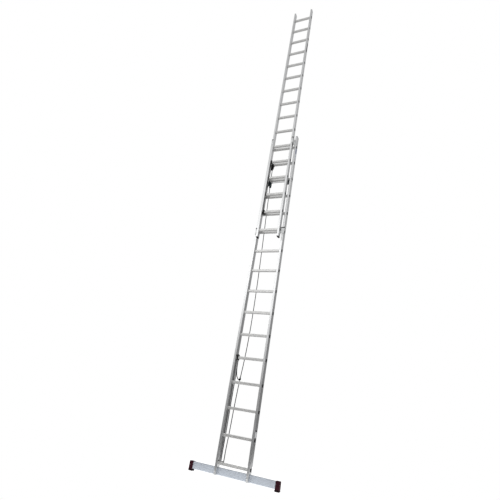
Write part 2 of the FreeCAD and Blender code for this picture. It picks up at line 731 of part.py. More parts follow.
def fly_knots():
    """Rope ends on the fly: the hitch that lifts it, and the spare end led up to a higher rung."""
    z = fly_rung_z(HITCH_RUNG)
    hitch = knot_on_rung(HITCH_X, KNOT_WIDTH, FLY_Y, z)
    lead = box(ROPE_X - 7.0, HITCH_X, FLY_ROPE_Y - 9.0, FLY_ROPE_Y + 6.0, z, z + KNOT_HALF)
    join = box(HITCH_X - KNOT_WIDTH / 2, HITCH_X, FLY_Y + RUNG_SIZE / 2 + 4.0, FLY_ROPE_Y, z,
               z + KNOT_HALF)
    spare_y = FLY_Y - RUNG_SIZE / 2 - ROPE_R - CLEARANCE
    top = fly_rung_z(HITCH_RUNG + SPARE_RUNGS_UP)
    spare = cylinder(ROPE_R, top - z - 2 * KNOT_HALF, vec(SPARE_X, spare_y, z + KNOT_HALF),
                     vec(0, 0, 1))
    upper = knot_on_rung(SPARE_X + 3.0, SPARE_KNOT_WIDTH, FLY_Y, top)
    return group([fuse([hitch, lead, join]), spare, upper])


def both_sides(shape):
    return group([mirror_x(shape), shape])


def save(name, shape):
    if not shape.isValid():
        print("not valid:", name)
    shape.exportStep("parts/%s.step" % name)


def save_pair(name, right):
    save(name + "_right", right)
    save(name + "_left", mirror_x(right))


def save_sections():
    save_pair("base_stile", base_stile())
    save_pair("fly_stile", fly_stile())
    for number in range(RUNGS):
        save("base_rung_%02d" % (number + 1), rung(BASE_WIDTH, BASE_Y, base_rung_z(number)))
        save("fly_rung_%02d" % (number + 1), rung(FLY_WIDTH, FLY_Y, fly_rung_z(number)))
    zs = [base_rung_z(number) for number in range(RUNGS)]
    save("base_rung_plugs", rung_plugs(BASE_WIDTH, BASE_Y, zs))
    save("fly_rung_plugs", rung_plugs(FLY_WIDTH, FLY_Y, [z + LIFT for z in zs]))
    save("base_top_caps", both_sides(base_top_cap()))
    save("base_bottom_plugs", both_sides(base_bottom_plug()))
    low_plug = fly_end_plug(BASE_BOTTOM + LIFT, -1)
    top_plug = fly_end_plug(BASE_TOP + LIFT, 1)
    save("fly_end_plugs", group([low_plug, top_plug, mirror_x(low_plug), mirror_x(top_plug)]))


def save_fittings():
    save("stabiliser_bar", stabiliser_bar())
    save_pair("bar_foot", bar_foot())
    save("base_bolts", base_bolts())
    save("fly_bolts", fly_bolts())
    save("top_guides", both_sides(top_guide()))
    save("low_guides", both_sides(low_guide()))
    save("lock_shaft", lock_shaft())
    save("lock_pawls", both_sides(lock_pawl()))
    save("lock_housings", both_sides(lock_housing()))
    save("pulley_block", pulley_block())
    save("pulley_axle", pulley_axle())
    save("pulley_sheave", pulley_sheave())


def save_rope():
    save("rope_anchor", rope_anchor())
    save("rope_haul", rope_haul())
    save("rope_tail", rope_tail())
    save("rope_fly_strand", rope_fly_strand())
    save("base_knots", base_knots())
    save("fly_knots", fly_knots())


os.makedirs("parts", exist_ok=True)
save_sections()
save_fittings()
save_rope()
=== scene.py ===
import math

import bmesh
import bpy
from mathutils import Matrix, Vector


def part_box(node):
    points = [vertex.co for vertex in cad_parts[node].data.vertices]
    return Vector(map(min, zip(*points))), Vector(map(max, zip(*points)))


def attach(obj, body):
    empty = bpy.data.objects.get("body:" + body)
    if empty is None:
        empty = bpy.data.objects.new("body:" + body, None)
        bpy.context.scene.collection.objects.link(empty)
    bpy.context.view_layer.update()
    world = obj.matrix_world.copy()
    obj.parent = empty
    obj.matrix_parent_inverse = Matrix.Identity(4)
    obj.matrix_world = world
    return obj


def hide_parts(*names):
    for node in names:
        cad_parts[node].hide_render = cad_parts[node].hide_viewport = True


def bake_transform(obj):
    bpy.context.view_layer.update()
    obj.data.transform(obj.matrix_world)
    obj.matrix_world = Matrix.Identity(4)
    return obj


bl_info = {
    "name": "Extension ladder",
    "version": (1, 0, 0),
    "blender": (4, 5, 0),
    "location": "3D View > Sidebar > Ladder",
    "description": "Fine pieces, finishes and studio of a rope-operated extension ladder",
    "category": "Object",
}

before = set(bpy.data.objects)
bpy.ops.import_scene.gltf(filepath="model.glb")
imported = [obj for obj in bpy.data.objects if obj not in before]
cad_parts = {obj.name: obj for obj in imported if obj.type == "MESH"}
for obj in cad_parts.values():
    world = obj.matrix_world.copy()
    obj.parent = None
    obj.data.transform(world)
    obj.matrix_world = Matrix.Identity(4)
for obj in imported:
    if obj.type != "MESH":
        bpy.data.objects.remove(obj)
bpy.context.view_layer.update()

# Places read from the frame
BASE_LOW, BASE_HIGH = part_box("base_stile_right")
FLY_LOW, FLY_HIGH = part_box("fly_stile_right")
SHEAVE_LOW, SHEAVE_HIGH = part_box("pulley_sheave")
SHEAVE_CENTRE = (SHEAVE_LOW + SHEAVE_HIGH) / 2
STRAND_LOW, STRAND_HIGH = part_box("rope_fly_strand")
RUNGS = 16

# Distances in metres below which two places count as one
NEAR = 1e-6


# Sizes, colours and studio values a user would change

class LadderSizes(bpy.types.PropertyGroup):
    """Sizes of the fine pieces."""
    rope_diameter: bpy.props.FloatProperty(
        name="Rope diameter", description="Thickness of the lifting rope",
        default=0.010, unit="LENGTH")
    rope_lay: bpy.props.FloatProperty(
        name="Rope lay", description="Length of one full twist of the rope's strands",
        default=0.036, unit="LENGTH")
    edge_round: bpy.props.FloatProperty(
        name="Edge rounding", description="Rounding of sheet and extruded edges",
        default=0.0005, unit="LENGTH")
    tread_groove: bpy.props.FloatProperty(
        name="Tread groove", description="Depth of the grooves along a rung",
        default=0.0008, unit="LENGTH")
    tread_grooves: bpy.props.IntProperty(
        name="Tread grooves", description="Grooves on each grooved face of a rung",
        default=6)
    bead: bpy.props.FloatProperty(
        name="Bead", description="Thickness of the swaged bead where a rung meets a stile",
        default=0.0022, unit="LENGTH")
    label_thickness: bpy.props.FloatProperty(
        name="Label thickness", description="Thickness of the blank vinyl labels",
        default=0.0003, unit="LENGTH")


def colour(name, description, value):
    return bpy.props.FloatVectorProperty(
        name=name, description=description, default=value, size=3, subtype="COLOR", min=0, max=1)


class LadderColours(bpy.types.PropertyGroup):
    """Base colours of the finishes."""
    stile: colour("Stile", "Satin extruded aluminium of the stiles", (0.76, 0.765, 0.77))
    rung: colour("Rung", "Extruded aluminium of the rungs", (0.84, 0.84, 0.83))
    bar: colour("Bar", "Matt aluminium of the stabiliser bar", (0.60, 0.645, 0.71))
    bracket: colour("Bracket", "Pressed aluminium of the guides", (0.74, 0.75, 0.75))
    cap: colour("Cap", "Light grey moulded plastic", (0.50, 0.52, 0.51))
    black: colour("Black plastic", "Moulded black plastic", (0.012, 0.012, 0.012))
    maroon: colour("Boot", "Maroon rubber of the bar's boots", (0.036, 0.0012, 0.0075))
    sole: colour("Sole", "Dark rubber of the soles", (0.009, 0.002, 0.003))
    lock: colour("Lock", "Dark blue-green plastic of the rung lock", (0.035, 0.052, 0.058))
    zinc: colour("Zinc", "Zinc plated steel", (0.66, 0.67, 0.68))
    rope: colour("Rope", "Black twisted rope", (0.009, 0.009, 0.0095))
    label_pale: colour("Pale label", "Pale field of a blank label", (0.70, 0.74, 0.80))
    label_white: colour("White label", "White field of a blank label", (0.86, 0.87, 0.88))
    label_blue: colour("Blue label", "Blue field of a blank label", (0.20, 0.24, 0.42))
    label_dark: colour("Dark label", "Dark field of a blank label", (0.05, 0.05, 0.055))


class LadderStudio(bpy.types.PropertyGroup):
    """Camera, floor and lights."""
    camera_place: bpy.props.FloatVectorProperty(
        name="Camera place", description="Where the camera stands", size=3,
        default=(1.8611, -4.2617, 0.5909), subtype="TRANSLATION", unit="LENGTH")
    camera_forward: bpy.props.FloatVectorProperty(
        name="Camera direction", description="Direction the camera looks along", size=3,
        default=(-0.40728, 0.82158, 0.39891), subtype="DIRECTION")
    camera_up: bpy.props.FloatVectorProperty(
        name="Camera up", description="Direction that is upwards in the view", size=3,
        default=(0.01605, -0.43027, 0.90256), subtype="DIRECTION")
    camera_lens: bpy.props.FloatProperty(
        name="Focal length", description="Focal length in millimetres on a 36 mm sensor",
        default=27.91, unit="CAMERA")
    floor_size: bpy.props.FloatProperty(
        name="Floor size", description="Width of the round floor", default=2.2, unit="LENGTH")
    floor_glow: bpy.props.FloatProperty(
        name="Floor glow", description="Light given off by the pale floor", default=0.62)
    key_power: bpy.props.FloatProperty(
        name="Key light", description="Power of the large soft light in front", default=60.0)
    fill_power: bpy.props.FloatProperty(
        name="Fill light", description="Power of the soft light from the right", default=25.0)


def sizes():
    return bpy.context.scene.ladder_sizes


def colours():
    return bpy.context.scene.ladder_colours


# Finishes

class Finish:
    """A node material that is built by chaining texture nodes onto one principled shader."""

    def __init__(self, name, base, roughness, metallic=0.0, specular=0.5):
        self.material = bpy.data.materials.new(name)
        self.material.use_nodes = True
        self.tree = self.material.node_tree
        self.shader = self.tree.nodes["Principled BSDF"]
        self.shader.inputs["Base Color"].default_value = (*base, 1)
        self.shader.inputs["Roughness"].default_value = roughness
        self.shader.inputs["Metallic"].default_value = metallic
        self.shader.inputs["Specular IOR Level"].default_value = specular
        self.base = base
        self.height = None

    def node(self, kind, **settings):
        made = self.tree.nodes.new(kind)
        for key, value in settings.items():
            setattr(made, key, value)
        return made

    def link(self, source, target):
        self.tree.links.new(source, target)

    def place(self, scale, source="Object"):
        """Texture place in metres, scaled to cells per metre."""
        coordinates = self.node("ShaderNodeTexCoord")
        mapping = self.node("ShaderNodeMapping")
        mapping.inputs["Scale"].default_value = scale
        self.link(coordinates.outputs[source], mapping.inputs["Vector"])
        return mapping.outputs["Vector"]

    def noise(self, scale, detail=3.0, source="Object", rough=0.55):
        texture = self.node("ShaderNodeTexNoise")
        texture.inputs["Scale"].default_value = 1.0
        texture.inputs["Detail"].default_value = detail
        texture.inputs["Roughness"].default_value = rough
        self.link(self.place(scale, source), texture.inputs["Vector"])
        return texture.outputs["Fac"]

    def ramp(self, value, low, high, dark, light):
        """Stretch a value between low and high to dark and light."""
        stretch = self.node("ShaderNodeMapRange", clamp=True)
        stretch.inputs["From Min"].default_value = low
        stretch.inputs["From Max"].default_value = high
        stretch.inputs["To Min"].default_value = dark
        stretch.inputs["To Max"].default_value = light
        self.link(value, stretch.inputs["Value"])
        return stretch.outputs["Result"]

    def multiply(self, a, b):
        maths = self.node("ShaderNodeMath", operation="MULTIPLY")
        self.link(a, maths.inputs[0])
        self.link(b, maths.inputs[1])
        return maths.outputs[0]

    def shade_colour(self, factor):
        """Multiply the base colour by a grey factor."""
        mix = self.node("ShaderNodeMix", data_type="RGBA", blend_type="MULTIPLY")
        mix.inputs["Factor"].default_value = 1.0
        mix.inputs[6].default_value = (*self.base, 1)
        grey = self.node("ShaderNodeCombineColor")
        for channel in ("Red", "Green", "Blue"):
            self.link(factor, grey.inputs[channel])
        self.link(grey.outputs["Color"], mix.inputs[7])
        self.link(mix.outputs[2], self.shader.inputs["Base Color"])

    def vary_roughness(self, value):
        self.link(value, self.shader.inputs["Roughness"])

    def bump(self, value, depth, strength):
        """Add a height to the surface, in metres."""
        bump = self.node("ShaderNodeBump")
        bump.inputs["Strength"].default_value = strength
        bump.inputs["Distance"].default_value = depth
        self.link(value, bump.inputs["Height"])
        if self.height is not None:
            self.link(self.height, bump.inputs["Normal"])
        self.height = bump.outputs["Normal"]
        self.link(self.height, self.shader.inputs["Normal"])


# Cells per metre across and along the die lines, and across and along the broad bands
DIE_ACROSS, DIE_ALONG = 2400.0, 6.0
BAND_ACROSS, BAND_ALONG = 140.0, 1.4


def drawn_metal(name, base, roughness, along, metallic=1.0, streak=0.10):
    """Extruded aluminium: fine die lines along the profile, faint blotches and handling marks."""
    finish = Finish(name, base, roughness, metallic)
    lines, broad = [DIE_ACROSS] * 3, [BAND_ACROSS] * 3
    lines["XYZ".index(along)] = DIE_ALONG
    broad["XYZ".index(along)] = BAND_ALONG
    die = finish.noise(lines, 4.0)
    band = finish.noise(broad, 2.0)
    blotch = finish.noise((9.0, 9.0, 5.0), 5.0)
    scuff = finish.noise((60.0, 60.0, 22.0), 8.0, rough=0.7)
    tone = finish.multiply(finish.ramp(band, 0.3, 0.7, 1.0 - streak, 1.0),
                           finish.ramp(blotch, 0.35, 0.7, 0.94, 1.0))
    tone = finish.multiply(tone, finish.ramp(scuff, 0.62, 0.74, 1.0, 0.94))
    finish.shade_colour(tone)
    rough = finish.multiply(finish.ramp(die, 0.25, 0.75, roughness * 0.85, roughness * 1.15),
                            finish.ramp(blotch, 0.3, 0.75, 0.85, 1.2))
    finish.vary_roughness(rough)
    finish.bump(die, 0.00005, 0.35)
    finish.bump(band, 0.0001, 0.25)
    return finish.material


def pressed_metal(name, base, roughness):
    """Pressed sheet: tumbled surface with small dents and scratches."""
    finish = Finish(name, base, roughness, 1.0)
    tumble = finish.noise((700.0, 700.0, 700.0), 4.0)
    cloud = finish.noise((40.0, 40.0, 40.0), 4.0)
    finish.shade_colour(finish.ramp(cloud, 0.3, 0.7, 0.86, 1.0))
    finish.vary_roughness(finish.ramp(tumble, 0.3, 0.7, roughness * 0.8, roughness * 1.25))
    finish.bump(tumble, 0.00008, 0.4)
    return finish.material


def moulded(name, base, roughness, grain=1500.0, depth=0.00012, wear=0.15, specular=0.2):
    """Moulded plastic or rubber: fine spark-eroded grain, slight cloudiness and rubbed patches."""
    finish = Finish(name, base, roughness, 0.0, specular)
    fine = finish.noise((grain, grain, grain), 2.0)
    cloud = finish.noise((30.0, 30.0, 30.0), 4.0)
    rub = finish.noise((120.0, 120.0, 120.0), 6.0, rough=0.65)
    tone = finish.multiply(finish.ramp(cloud, 0.3, 0.7, 0.8, 1.15),
                           finish.ramp(rub, 0.60, 0.72, 1.0, 1.0 + 4 * wear))
    finish.shade_colour(tone)
    finish.vary_roughness(finish.ramp(cloud, 0.3, 0.7, roughness * 0.85, min(roughness * 1.2, 1)))
    finish.bump(fine, depth, 0.5)
    return finish.material


def twisted_rope(name, base):
    """Polypropylene rope: yarns laid across each strand, faded patches and a few pale fibres."""
    finish = Finish(name, base, 0.62, 0.0, 0.2)
    yarn = finish.node("ShaderNodeTexWave", wave_type="BANDS", bands_direction="DIAGONAL",
                       wave_profile="SIN")
    yarn.inputs["Scale"].default_value = 1.0
    yarn.inputs["Distortion"].default_value = 1.2
    yarn.inputs["Detail"].default_value = 2.0
    finish.link(finish.place((900.0, 7.0, 1.0), "UV"), yarn.inputs["Vector"])
    fade = finish.noise((14.0, 14.0, 9.0), 3.0)
    fibre = finish.noise((2600.0, 60.0, 1.0), 3.0, "UV")
    tone = finish.multiply(finish.ramp(yarn.outputs["Fac"], 0.1, 0.9, 0.55, 1.35),
                           finish.ramp(fade, 0.3, 0.7, 0.8, 1.3))
    finish.shade_colour(finish.multiply(tone, finish.ramp(fibre, 0.66, 0.75, 1.0, 2.6)))
    finish.bump(yarn.outputs["Fac"], 0.0004, 0.8)
    finish.bump(fibre, 0.0001, 0.4)
    finish.shader.inputs["Sheen Weight"].default_value = 0.06
    finish.shader.inputs["Sheen Roughness"].default_value = 0.5
    return finish.material


def vinyl(name, base):
    """Printed vinyl without lettering: slightly crinkled, with scuffed print."""
    finish = Finish(name, base, 0.38, 0.0, 0.5)
    crinkle = finish.noise((220.0, 220.0, 160.0), 3.0)
    scuff = finish.noise((500.0, 500.0, 60.0), 5.0, rough=0.7)
    finish.shade_colour(finish.ramp(scuff, 0.58, 0.72, 1.0, 1.25))
    finish.vary_roughness(finish.ramp(crinkle, 0.3, 0.7, 0.3, 0.5))
    finish.bump(crinkle, 0.0001, 0.4)
    return finish.material


FINISHES = {}


def make_finishes():
    tint = colours()
    FINISHES.update(
        stile=drawn_metal("satin aluminium, upright", tint.stile, 0.34, "Z"),
        rung=drawn_metal("satin aluminium, across", tint.rung, 0.36, "X", metallic=0.55),
        bar=drawn_metal("matt aluminium, across", tint.bar, 0.5, "X", metallic=0.35, streak=0.06),
        bracket=pressed_metal("pressed aluminium", tint.bracket, 0.38),
        zinc=pressed_metal("zinc plate", tint.zinc, 0.3),
        cap=moulded("grey plastic", tint.cap, 0.45, wear=0.02),
        black=moulded("black plastic", tint.black, 0.42),
        maroon=moulded("maroon rubber", tint.maroon, 0.55, grain=900.0, depth=0.0002),
        sole=moulded("sole rubber", tint.sole, 0.7, grain=700.0, depth=0.0003),
        lock=moulded("lock plastic", tint.lock, 0.4),
        rope=twisted_rope("black rope", tint.rope),
        label_pale=vinyl("pale vinyl", tint.label_pale),
        label_white=vinyl("white vinyl", tint.label_white),
        label_blue=vinyl("blue vinyl", tint.label_blue),
        label_dark=vinyl("dark vinyl", tint.label_dark),
    )


# Mesh building

def round_edges(bm, edges, radius, segments=2):
    bmesh.ops.bevel(bm, geom=edges, offset=radius, offset_type="OFFSET", segments=segments,
                    profile=0.5, affect="EDGES", clamp_overlap=True, material=-1)


def block(low, high, radius=0.0, segments=2):
    """A box with every edge rounded."""
    bm = bmesh.new()
    low, high = Vector(low), Vector(high)
    bmesh.ops.create_cube(bm, size=1.0)
    bmesh.ops.scale(bm, vec=high - low, verts=bm.verts)
    bmesh.ops.translate(bm, vec=(low + high) / 2, verts=bm.verts)
    if radius > 0:
        round_edges(bm, list(bm.edges), radius, segments)
    return bm


AXIS_TURN = {
    "X": Matrix.Rotation(math.pi / 2, 3, "Y"),
    "Y": Matrix.Rotation(-math.pi / 2, 3, "X"),
    "Z": Matrix.Identity(3),
}


def rod(axis, start, end, radius, sides, chamfer=0.0):
    """A round or many-sided rod from start to end, its rims chamfered."""
    bm = bmesh.new()
    start, end = Vector(start), Vector(end)
    bmesh.ops.create_cone(bm, cap_ends=True, cap_tris=False, segments=sides, radius1=radius,
                          radius2=radius, depth=(end - start).length)
    if chamfer > 0:
        rims = [e for e in bm.edges if abs(e.verts[0].co.z - e.verts[1].co.z) < 1e-7]
        round_edges(bm, rims, chamfer, 2)
    turn = AXIS_TURN[axis]
    if (end - start).dot(turn @ Vector((0, 0, 1))) < 0:
        turn = turn @ Matrix.Rotation(math.pi, 3, "X")
    bmesh.ops.rotate(bm, cent=(0, 0, 0), matrix=turn, verts=bm.verts)
    bmesh.ops.translate(bm, vec=(start + end) / 2, verts=bm.verts)
    return bm


def turned(profile, axis, centre, steps=48):
    """A shape spun about an axis. The profile holds (distance along, radius) pairs."""
    bm = bmesh.new()
    corners = [bm.verts.new((radius, 0, along)) for along, radius in profile]
    edges = [bm.edges.new(pair) for pair in zip(corners, corners[1:] + corners[:1])]
    bmesh.ops.spin(bm, geom=corners + edges, cent=(0, 0, 0), axis=(0, 0, 1),
                   angle=2 * math.pi, steps=steps, use_merge=True, use_duplicate=False)
    bmesh.ops.remove_doubles(bm, verts=bm.verts, dist=NEAR)
    on_axis = [e for e in bm.edges if not e.link_faces]
    bmesh.ops.delete(bm, geom=on_axis, context="EDGES")
    bmesh.ops.rotate(bm, cent=(0, 0, 0), matrix=AXIS_TURN[axis], verts=bm.verts)
    bmesh.ops.translate(bm, vec=centre, verts=bm.verts)
    return bm


def outline_loop(bm, outline, x):
    corners = [bm.verts.new((x, y, z)) for y, z in outline]
    return [bm.edges.new(pair) for pair in zip(corners, corners[1:] + corners[:1])]


def tube_along_x(outer, inner, x0, x1):
    """A hollow profile along X between two closed outlines of (y, z) points."""
    bm = bmesh.new()
    loops = outline_loop(bm, outer, x0) + outline_loop(bm, inner, x0)
    ring = bmesh.ops.bridge_loops(bm, edges=loops)["faces"]
    grown = bmesh.ops.extrude_face_region(bm, geom=ring, use_keep_orig=True)
    moved = [g for g in grown["geom"] if isinstance(g, bmesh.types.BMVert)]
    bmesh.ops.translate(bm, vec=(x1 - x0, 0, 0), verts=moved)
    return bm


def rounded_rectangle(centre_y, centre_z, half_y, half_z, radius, steps=4):
    """Corner points of a rectangle with round corners, anticlockwise from the lower right."""
    points = []
    for quarter, (sy, sz) in enumerate(((1, -1), (1, 1), (-1, 1), (-1, -1))):
        for step in range(steps + 1):
            angle = math.pi / 2 * (quarter - 1 + step / steps)
            points.append((centre_y + sy * (half_y - radius) + radius * math.cos(angle),
                           centre_z + sz * (half_z - radius) + radius * math.sin(angle)))
    return points


def joined(*shapes):
    """One bmesh from several, which are used up."""
    whole = bmesh.new()
    for shape in shapes:
        mesh = bpy.data.meshes.new("part")
        shape.to_mesh(mesh)
        shape.free()
        whole.from_mesh(mesh)
        bpy.data.meshes.remove(mesh)
    return whole


def merged_copy(node):
    """The CAD node's mesh as a bmesh whose triangles share their corners."""
    bm = bmesh.new()
    bm.from_mesh(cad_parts[node].data)
    bmesh.ops.remove_doubles(bm, verts=bm.verts, dist=NEAR)
    return bm


def solid_boxes(node):
    """Lowest and highest corners of each separate solid in a node, lowest first."""
    bm = merged_copy(node)
    left = set(bm.verts)
    boxes = []
    while left:
        todo = [left.pop()]
        island = []
        while todo:
            vertex = todo.pop()
            island.append(vertex.co.copy())
            for edge in vertex.link_edges:
                other = edge.other_vert(vertex)
                if other in left:
                    left.remove(other)
                    todo.append(other)
        low = Vector(min(p[i] for p in island) for i in range(3))
        high = Vector(max(p[i] for p in island) for i in range(3))
        boxes.append((low, high))
    bm.free()
    return sorted(boxes, key=lambda b: (round(b[0].z, 4), b[0].x))


# An edge that turns further than this is rounded
HARD_ANGLE = math.radians(28)


def softened(node, radius, segments=2):
    """The CAD node's shape with its hard edges rounded."""
    bm = merged_copy(node)
    bmesh.ops.dissolve_limit(bm, angle_limit=math.radians(0.5), verts=bm.verts, edges=bm.edges,
                             use_dissolve_boundaries=False)
    hard = [e for e in bm.edges
            if len(e.link_faces) == 2 and e.calc_face_angle(0) > HARD_ANGLE
            and e.calc_length() > 2.2 * radius]
    round_edges(bm, hard, radius, segments)
    bmesh.ops.dissolve_degenerate(bm, dist=NEAR, edges=bm.edges)
    return bm


def show(name, shape, finish, body, *nodes, slot=None, angle=32):
    """Make a piece of the ladder from a bmesh and settle its finish, body and nodes."""
    bmesh.ops.recalc_face_normals(shape, faces=shape.faces)
    mesh = bpy.data.meshes.new(name)
    shape.to_mesh(mesh)
    shape.free()
    for polygon in mesh.polygons:
        polygon.use_smooth = True
    mesh.set_sharp_from_angle(angle=math.radians(angle))
    mesh.materials.append(FINISHES[finish])
    piece = bpy.data.objects.new(name, mesh)
    bpy.context.scene.collection.objects.link(piece)
    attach(piece, body)
    if nodes:
        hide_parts(*nodes)
    return piece


def paint_node(node, finish):
    """Give a CAD node that stays visible its finish."""
    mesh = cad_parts[node].data
    mesh.materials.clear()
    mesh.materials.append(FINISHES[finish])


class PieceOperator(bpy.types.Operator):
    """Common settings of the ladder's operators."""
    bl_options = {"REGISTER", "UNDO"}


class LADDER_OT_finishes(PieceOperator):
    """Make every finish, and put one on the CAD nodes that stay visible."""
    bl_idname = "ladder.finishes"
    bl_label = "Finishes"

    def execute(self, context):
        make_finishes()
        for body in ("base", "fly"):
            for side in ("left", "right"):
                paint_node(f"{body}_stile_{side}", "stile")
        return {"FINISHED"}


# Rungs and their plugs

RUNG_CORNER = 0.003
RUNG_WALL = 0.0024
RUNG_BORE_CORNER = 0.0012
BEAD_CORNER = 0.004
BEAD_OVERLAP = 0.0002
PLUG_FLANGE = 0.002
PLUG_SPIGOT_INSET = 0.0045
# Edges of a plug's face that are its outer rim: longer, and further from the middle, than these
PLUG_RIM_LENGTH = 0.020
PLUG_RIM_REACH = 0.0155


def rung_outline(low, high, groove, grooves):
    """Square with round corners and fine grooves along every face but its upper one."""
    radius = RUNG_CORNER
    centre_y, centre_z = (low.y + high.y) / 2, (low.z + high.z) / 2
    half = (high.y - low.y) / 2
    outline = []
    flat = 2 * (half - radius)
    pitch = flat / grooves
    for quarter in range(4):
        turn = quarter * math.pi / 2
        face = [(half - radius + radius * math.cos(a), -half + radius + radius * math.sin(a))
                for a in (-math.pi / 2, -math.pi / 3, -math.pi / 6, 0.0)]
        cut = groove if quarter != 1 else 0.0
        for number in range(grooves):
            along = -half + radius + pitch * (number + 0.5)
            if cut:
                face += [(half, along - pitch * 0.2), (half - cut, along - pitch * 0.1),
                         (half - cut, along + pitch * 0.1), (half, along + pitch * 0.2)]
        for y, z in face:
            outline.append((centre_y + y * math.cos(turn) - z * math.sin(turn),
                            centre_z + y * math.sin(turn) + z * math.cos(turn)))
    return outline


def rung_bead(x, low, high, thick, outward):
    """Swaged bead round a rung against the inner face of a stile."""
    centre_y, centre_z = (low.y + high.y) / 2, (low.z + high.z) / 2
    half = (high.y - low.y) / 2
    outer = rounded_rectangle(centre_y, centre_z, half + thick, half + thick, BEAD_CORNER)
    bore = half - BEAD_OVERLAP
    inner = rounded_rectangle(centre_y, centre_z, bore, bore, RUNG_CORNER)
    bead = tube_along_x(outer, inner, x, x + outward * thick)
    rim = [e for e in bead.edges
           if all(abs(v.co.x - x - outward * thick) < NEAR for v in e.verts)
           and max(abs(e.verts[0].co.y - centre_y),
                   abs(e.verts[0].co.z - centre_z)) > half + thick / 2]
    round_edges(bead, rim, thick * 0.6, 3)
    return bead


class LADDER_OT_rungs(PieceOperator):
    """Grooved hollow rungs with a swaged bead at each stile."""
    bl_idname = "ladder.rungs"
    bl_label = "Rungs"

    def execute(self, context):
        size = sizes()
        sections = (("base", BASE_LOW.x, "root"), ("fly", FLY_LOW.x, "fly"))
        for section, stile_inner, body in sections:
            for number in range(1, RUNGS + 1):
                node = f"{section}_rung_{number:02d}"
                low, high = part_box(node)
                outer = rung_outline(low, high, size.tread_groove, size.tread_grooves)
                bore = (high.y - low.y) / 2 - RUNG_WALL
                inner = rounded_rectangle((low.y + high.y) / 2, (low.z + high.z) / 2,
                                          bore, bore, RUNG_BORE_CORNER)
                shape = tube_along_x(outer, inner, low.x, high.x)
                beads = [rung_bead(-stile_inner, low, high, size.bead, 1),
                         rung_bead(stile_inner, low, high, size.bead, -1)]
                show(f"{node}_ribbed", joined(shape, *beads), "rung", body, node)
        return {"FINISHED"}


def rung_plug(low, high):
    """Flanged plug: a sunken face with a raised rim, and a plain spigot behind it."""
    outward = 1 if low.x + high.x > 0 else -1
    face = high.x if outward > 0 else low.x
    back = face - outward * PLUG_FLANGE
    x0, x1 = sorted((face, back))
    plate = block((x0, low.y, low.z), (x1, high.y, high.z))
    front = [f for f in plate.faces if f.normal.x * outward > 0.9]
    bmesh.ops.inset_region(plate, faces=front, thickness=0.0035, depth=0.0)
    bmesh.ops.inset_region(plate, faces=front, thickness=0.0012, depth=-0.0009)
    rims = [e for e in plate.edges if e.calc_length() > PLUG_RIM_LENGTH
            and all(abs(v.co.x - face) < NEAR for v in e.verts)
            and max(abs(v.co.y - (low.y + high.y) / 2) for v in e.verts) > PLUG_RIM_REACH
            and max(abs(v.co.z - (low.z + high.z) / 2) for v in e.verts) > PLUG_RIM_REACH]
    round_edges(plate, rims, 0.0009, 2)
    root = low.x if outward > 0 else high.x
    s0, s1 = sorted((root, back))
    inset = PLUG_SPIGOT_INSET
    spigot = block((s0, low.y + inset, low.z + inset), (s1, high.y - inset, high.z - inset))
    return joined(plate, spigot)


class LADDER_OT_rung_plugs(PieceOperator):
    """Black plugs in the rungs' ends."""
    bl_idname = "ladder.rung_plugs"
    bl_label = "Rung plugs"

    def execute(self, context):
        for section, body in (("base", "root"), ("fly", "fly")):
            node = f"{section}_rung_plugs"
            plugs = [rung_plug(low, high) for low, high in solid_boxes(node)]
            show(f"{section}_plugs", joined(*plugs), "black", body, node)
        return {"FINISHED"}


# Stile ends

STILE_WALL = 0.0022
CAP_LIP = 0.0022
CAP_RIB_PITCH = 0.006
CAP_RIB_HALF = 0.0012
CAP_RIB_END = 0.004
END_FLANGE = 0.0045
END_SUNK = 0.0015
END_RIB_HALF = 0.0008
END_RIB_END = 0.005


def stile_cap(low, high, top_of_stile):
    """Arched cap with a lip, ribs on its crown and a solid spigot."""
    crown = block((low.x, low.y, top_of_stile), high)
    rise = high.z - top_of_stile
    arch = [e for e in crown.edges
            if all(abs(v.co.z - high.z) < NEAR for v in e.verts)
            and abs(e.verts[0].co.y - e.verts[1].co.y) < NEAR]
    round_edges(crown, arch, rise - 0.001, 8)
    sides = [e for e in crown.edges if len(e.link_faces) == 2 and e.calc_face_angle(0) > 1.2
             and min(v.co.z for v in e.verts) > top_of_stile - NEAR]
    round_edges(crown, sides, 0.0012, 2)
    middle = (low.y + high.y) / 2
    ribs = [block((low.x + CAP_RIB_END, middle + step * CAP_RIB_PITCH - CAP_RIB_HALF,
                   high.z - 0.003),
                  (high.x - CAP_RIB_END, middle + step * CAP_RIB_PITCH + CAP_RIB_HALF, high.z),
                  0.0005)
            for step in (-2, -1, 0, 1, 2)]
    lip = block((low.x, low.y, top_of_stile), (high.x, high.y, top_of_stile + CAP_LIP), 0.0006)
    spigot = block((low.x + STILE_WALL, low.y + STILE_WALL, low.z),
                   (high.x - STILE_WALL, high.y - STILE_WALL, top_of_stile), 0.001)
    return joined(crown, lip, spigot, *ribs)


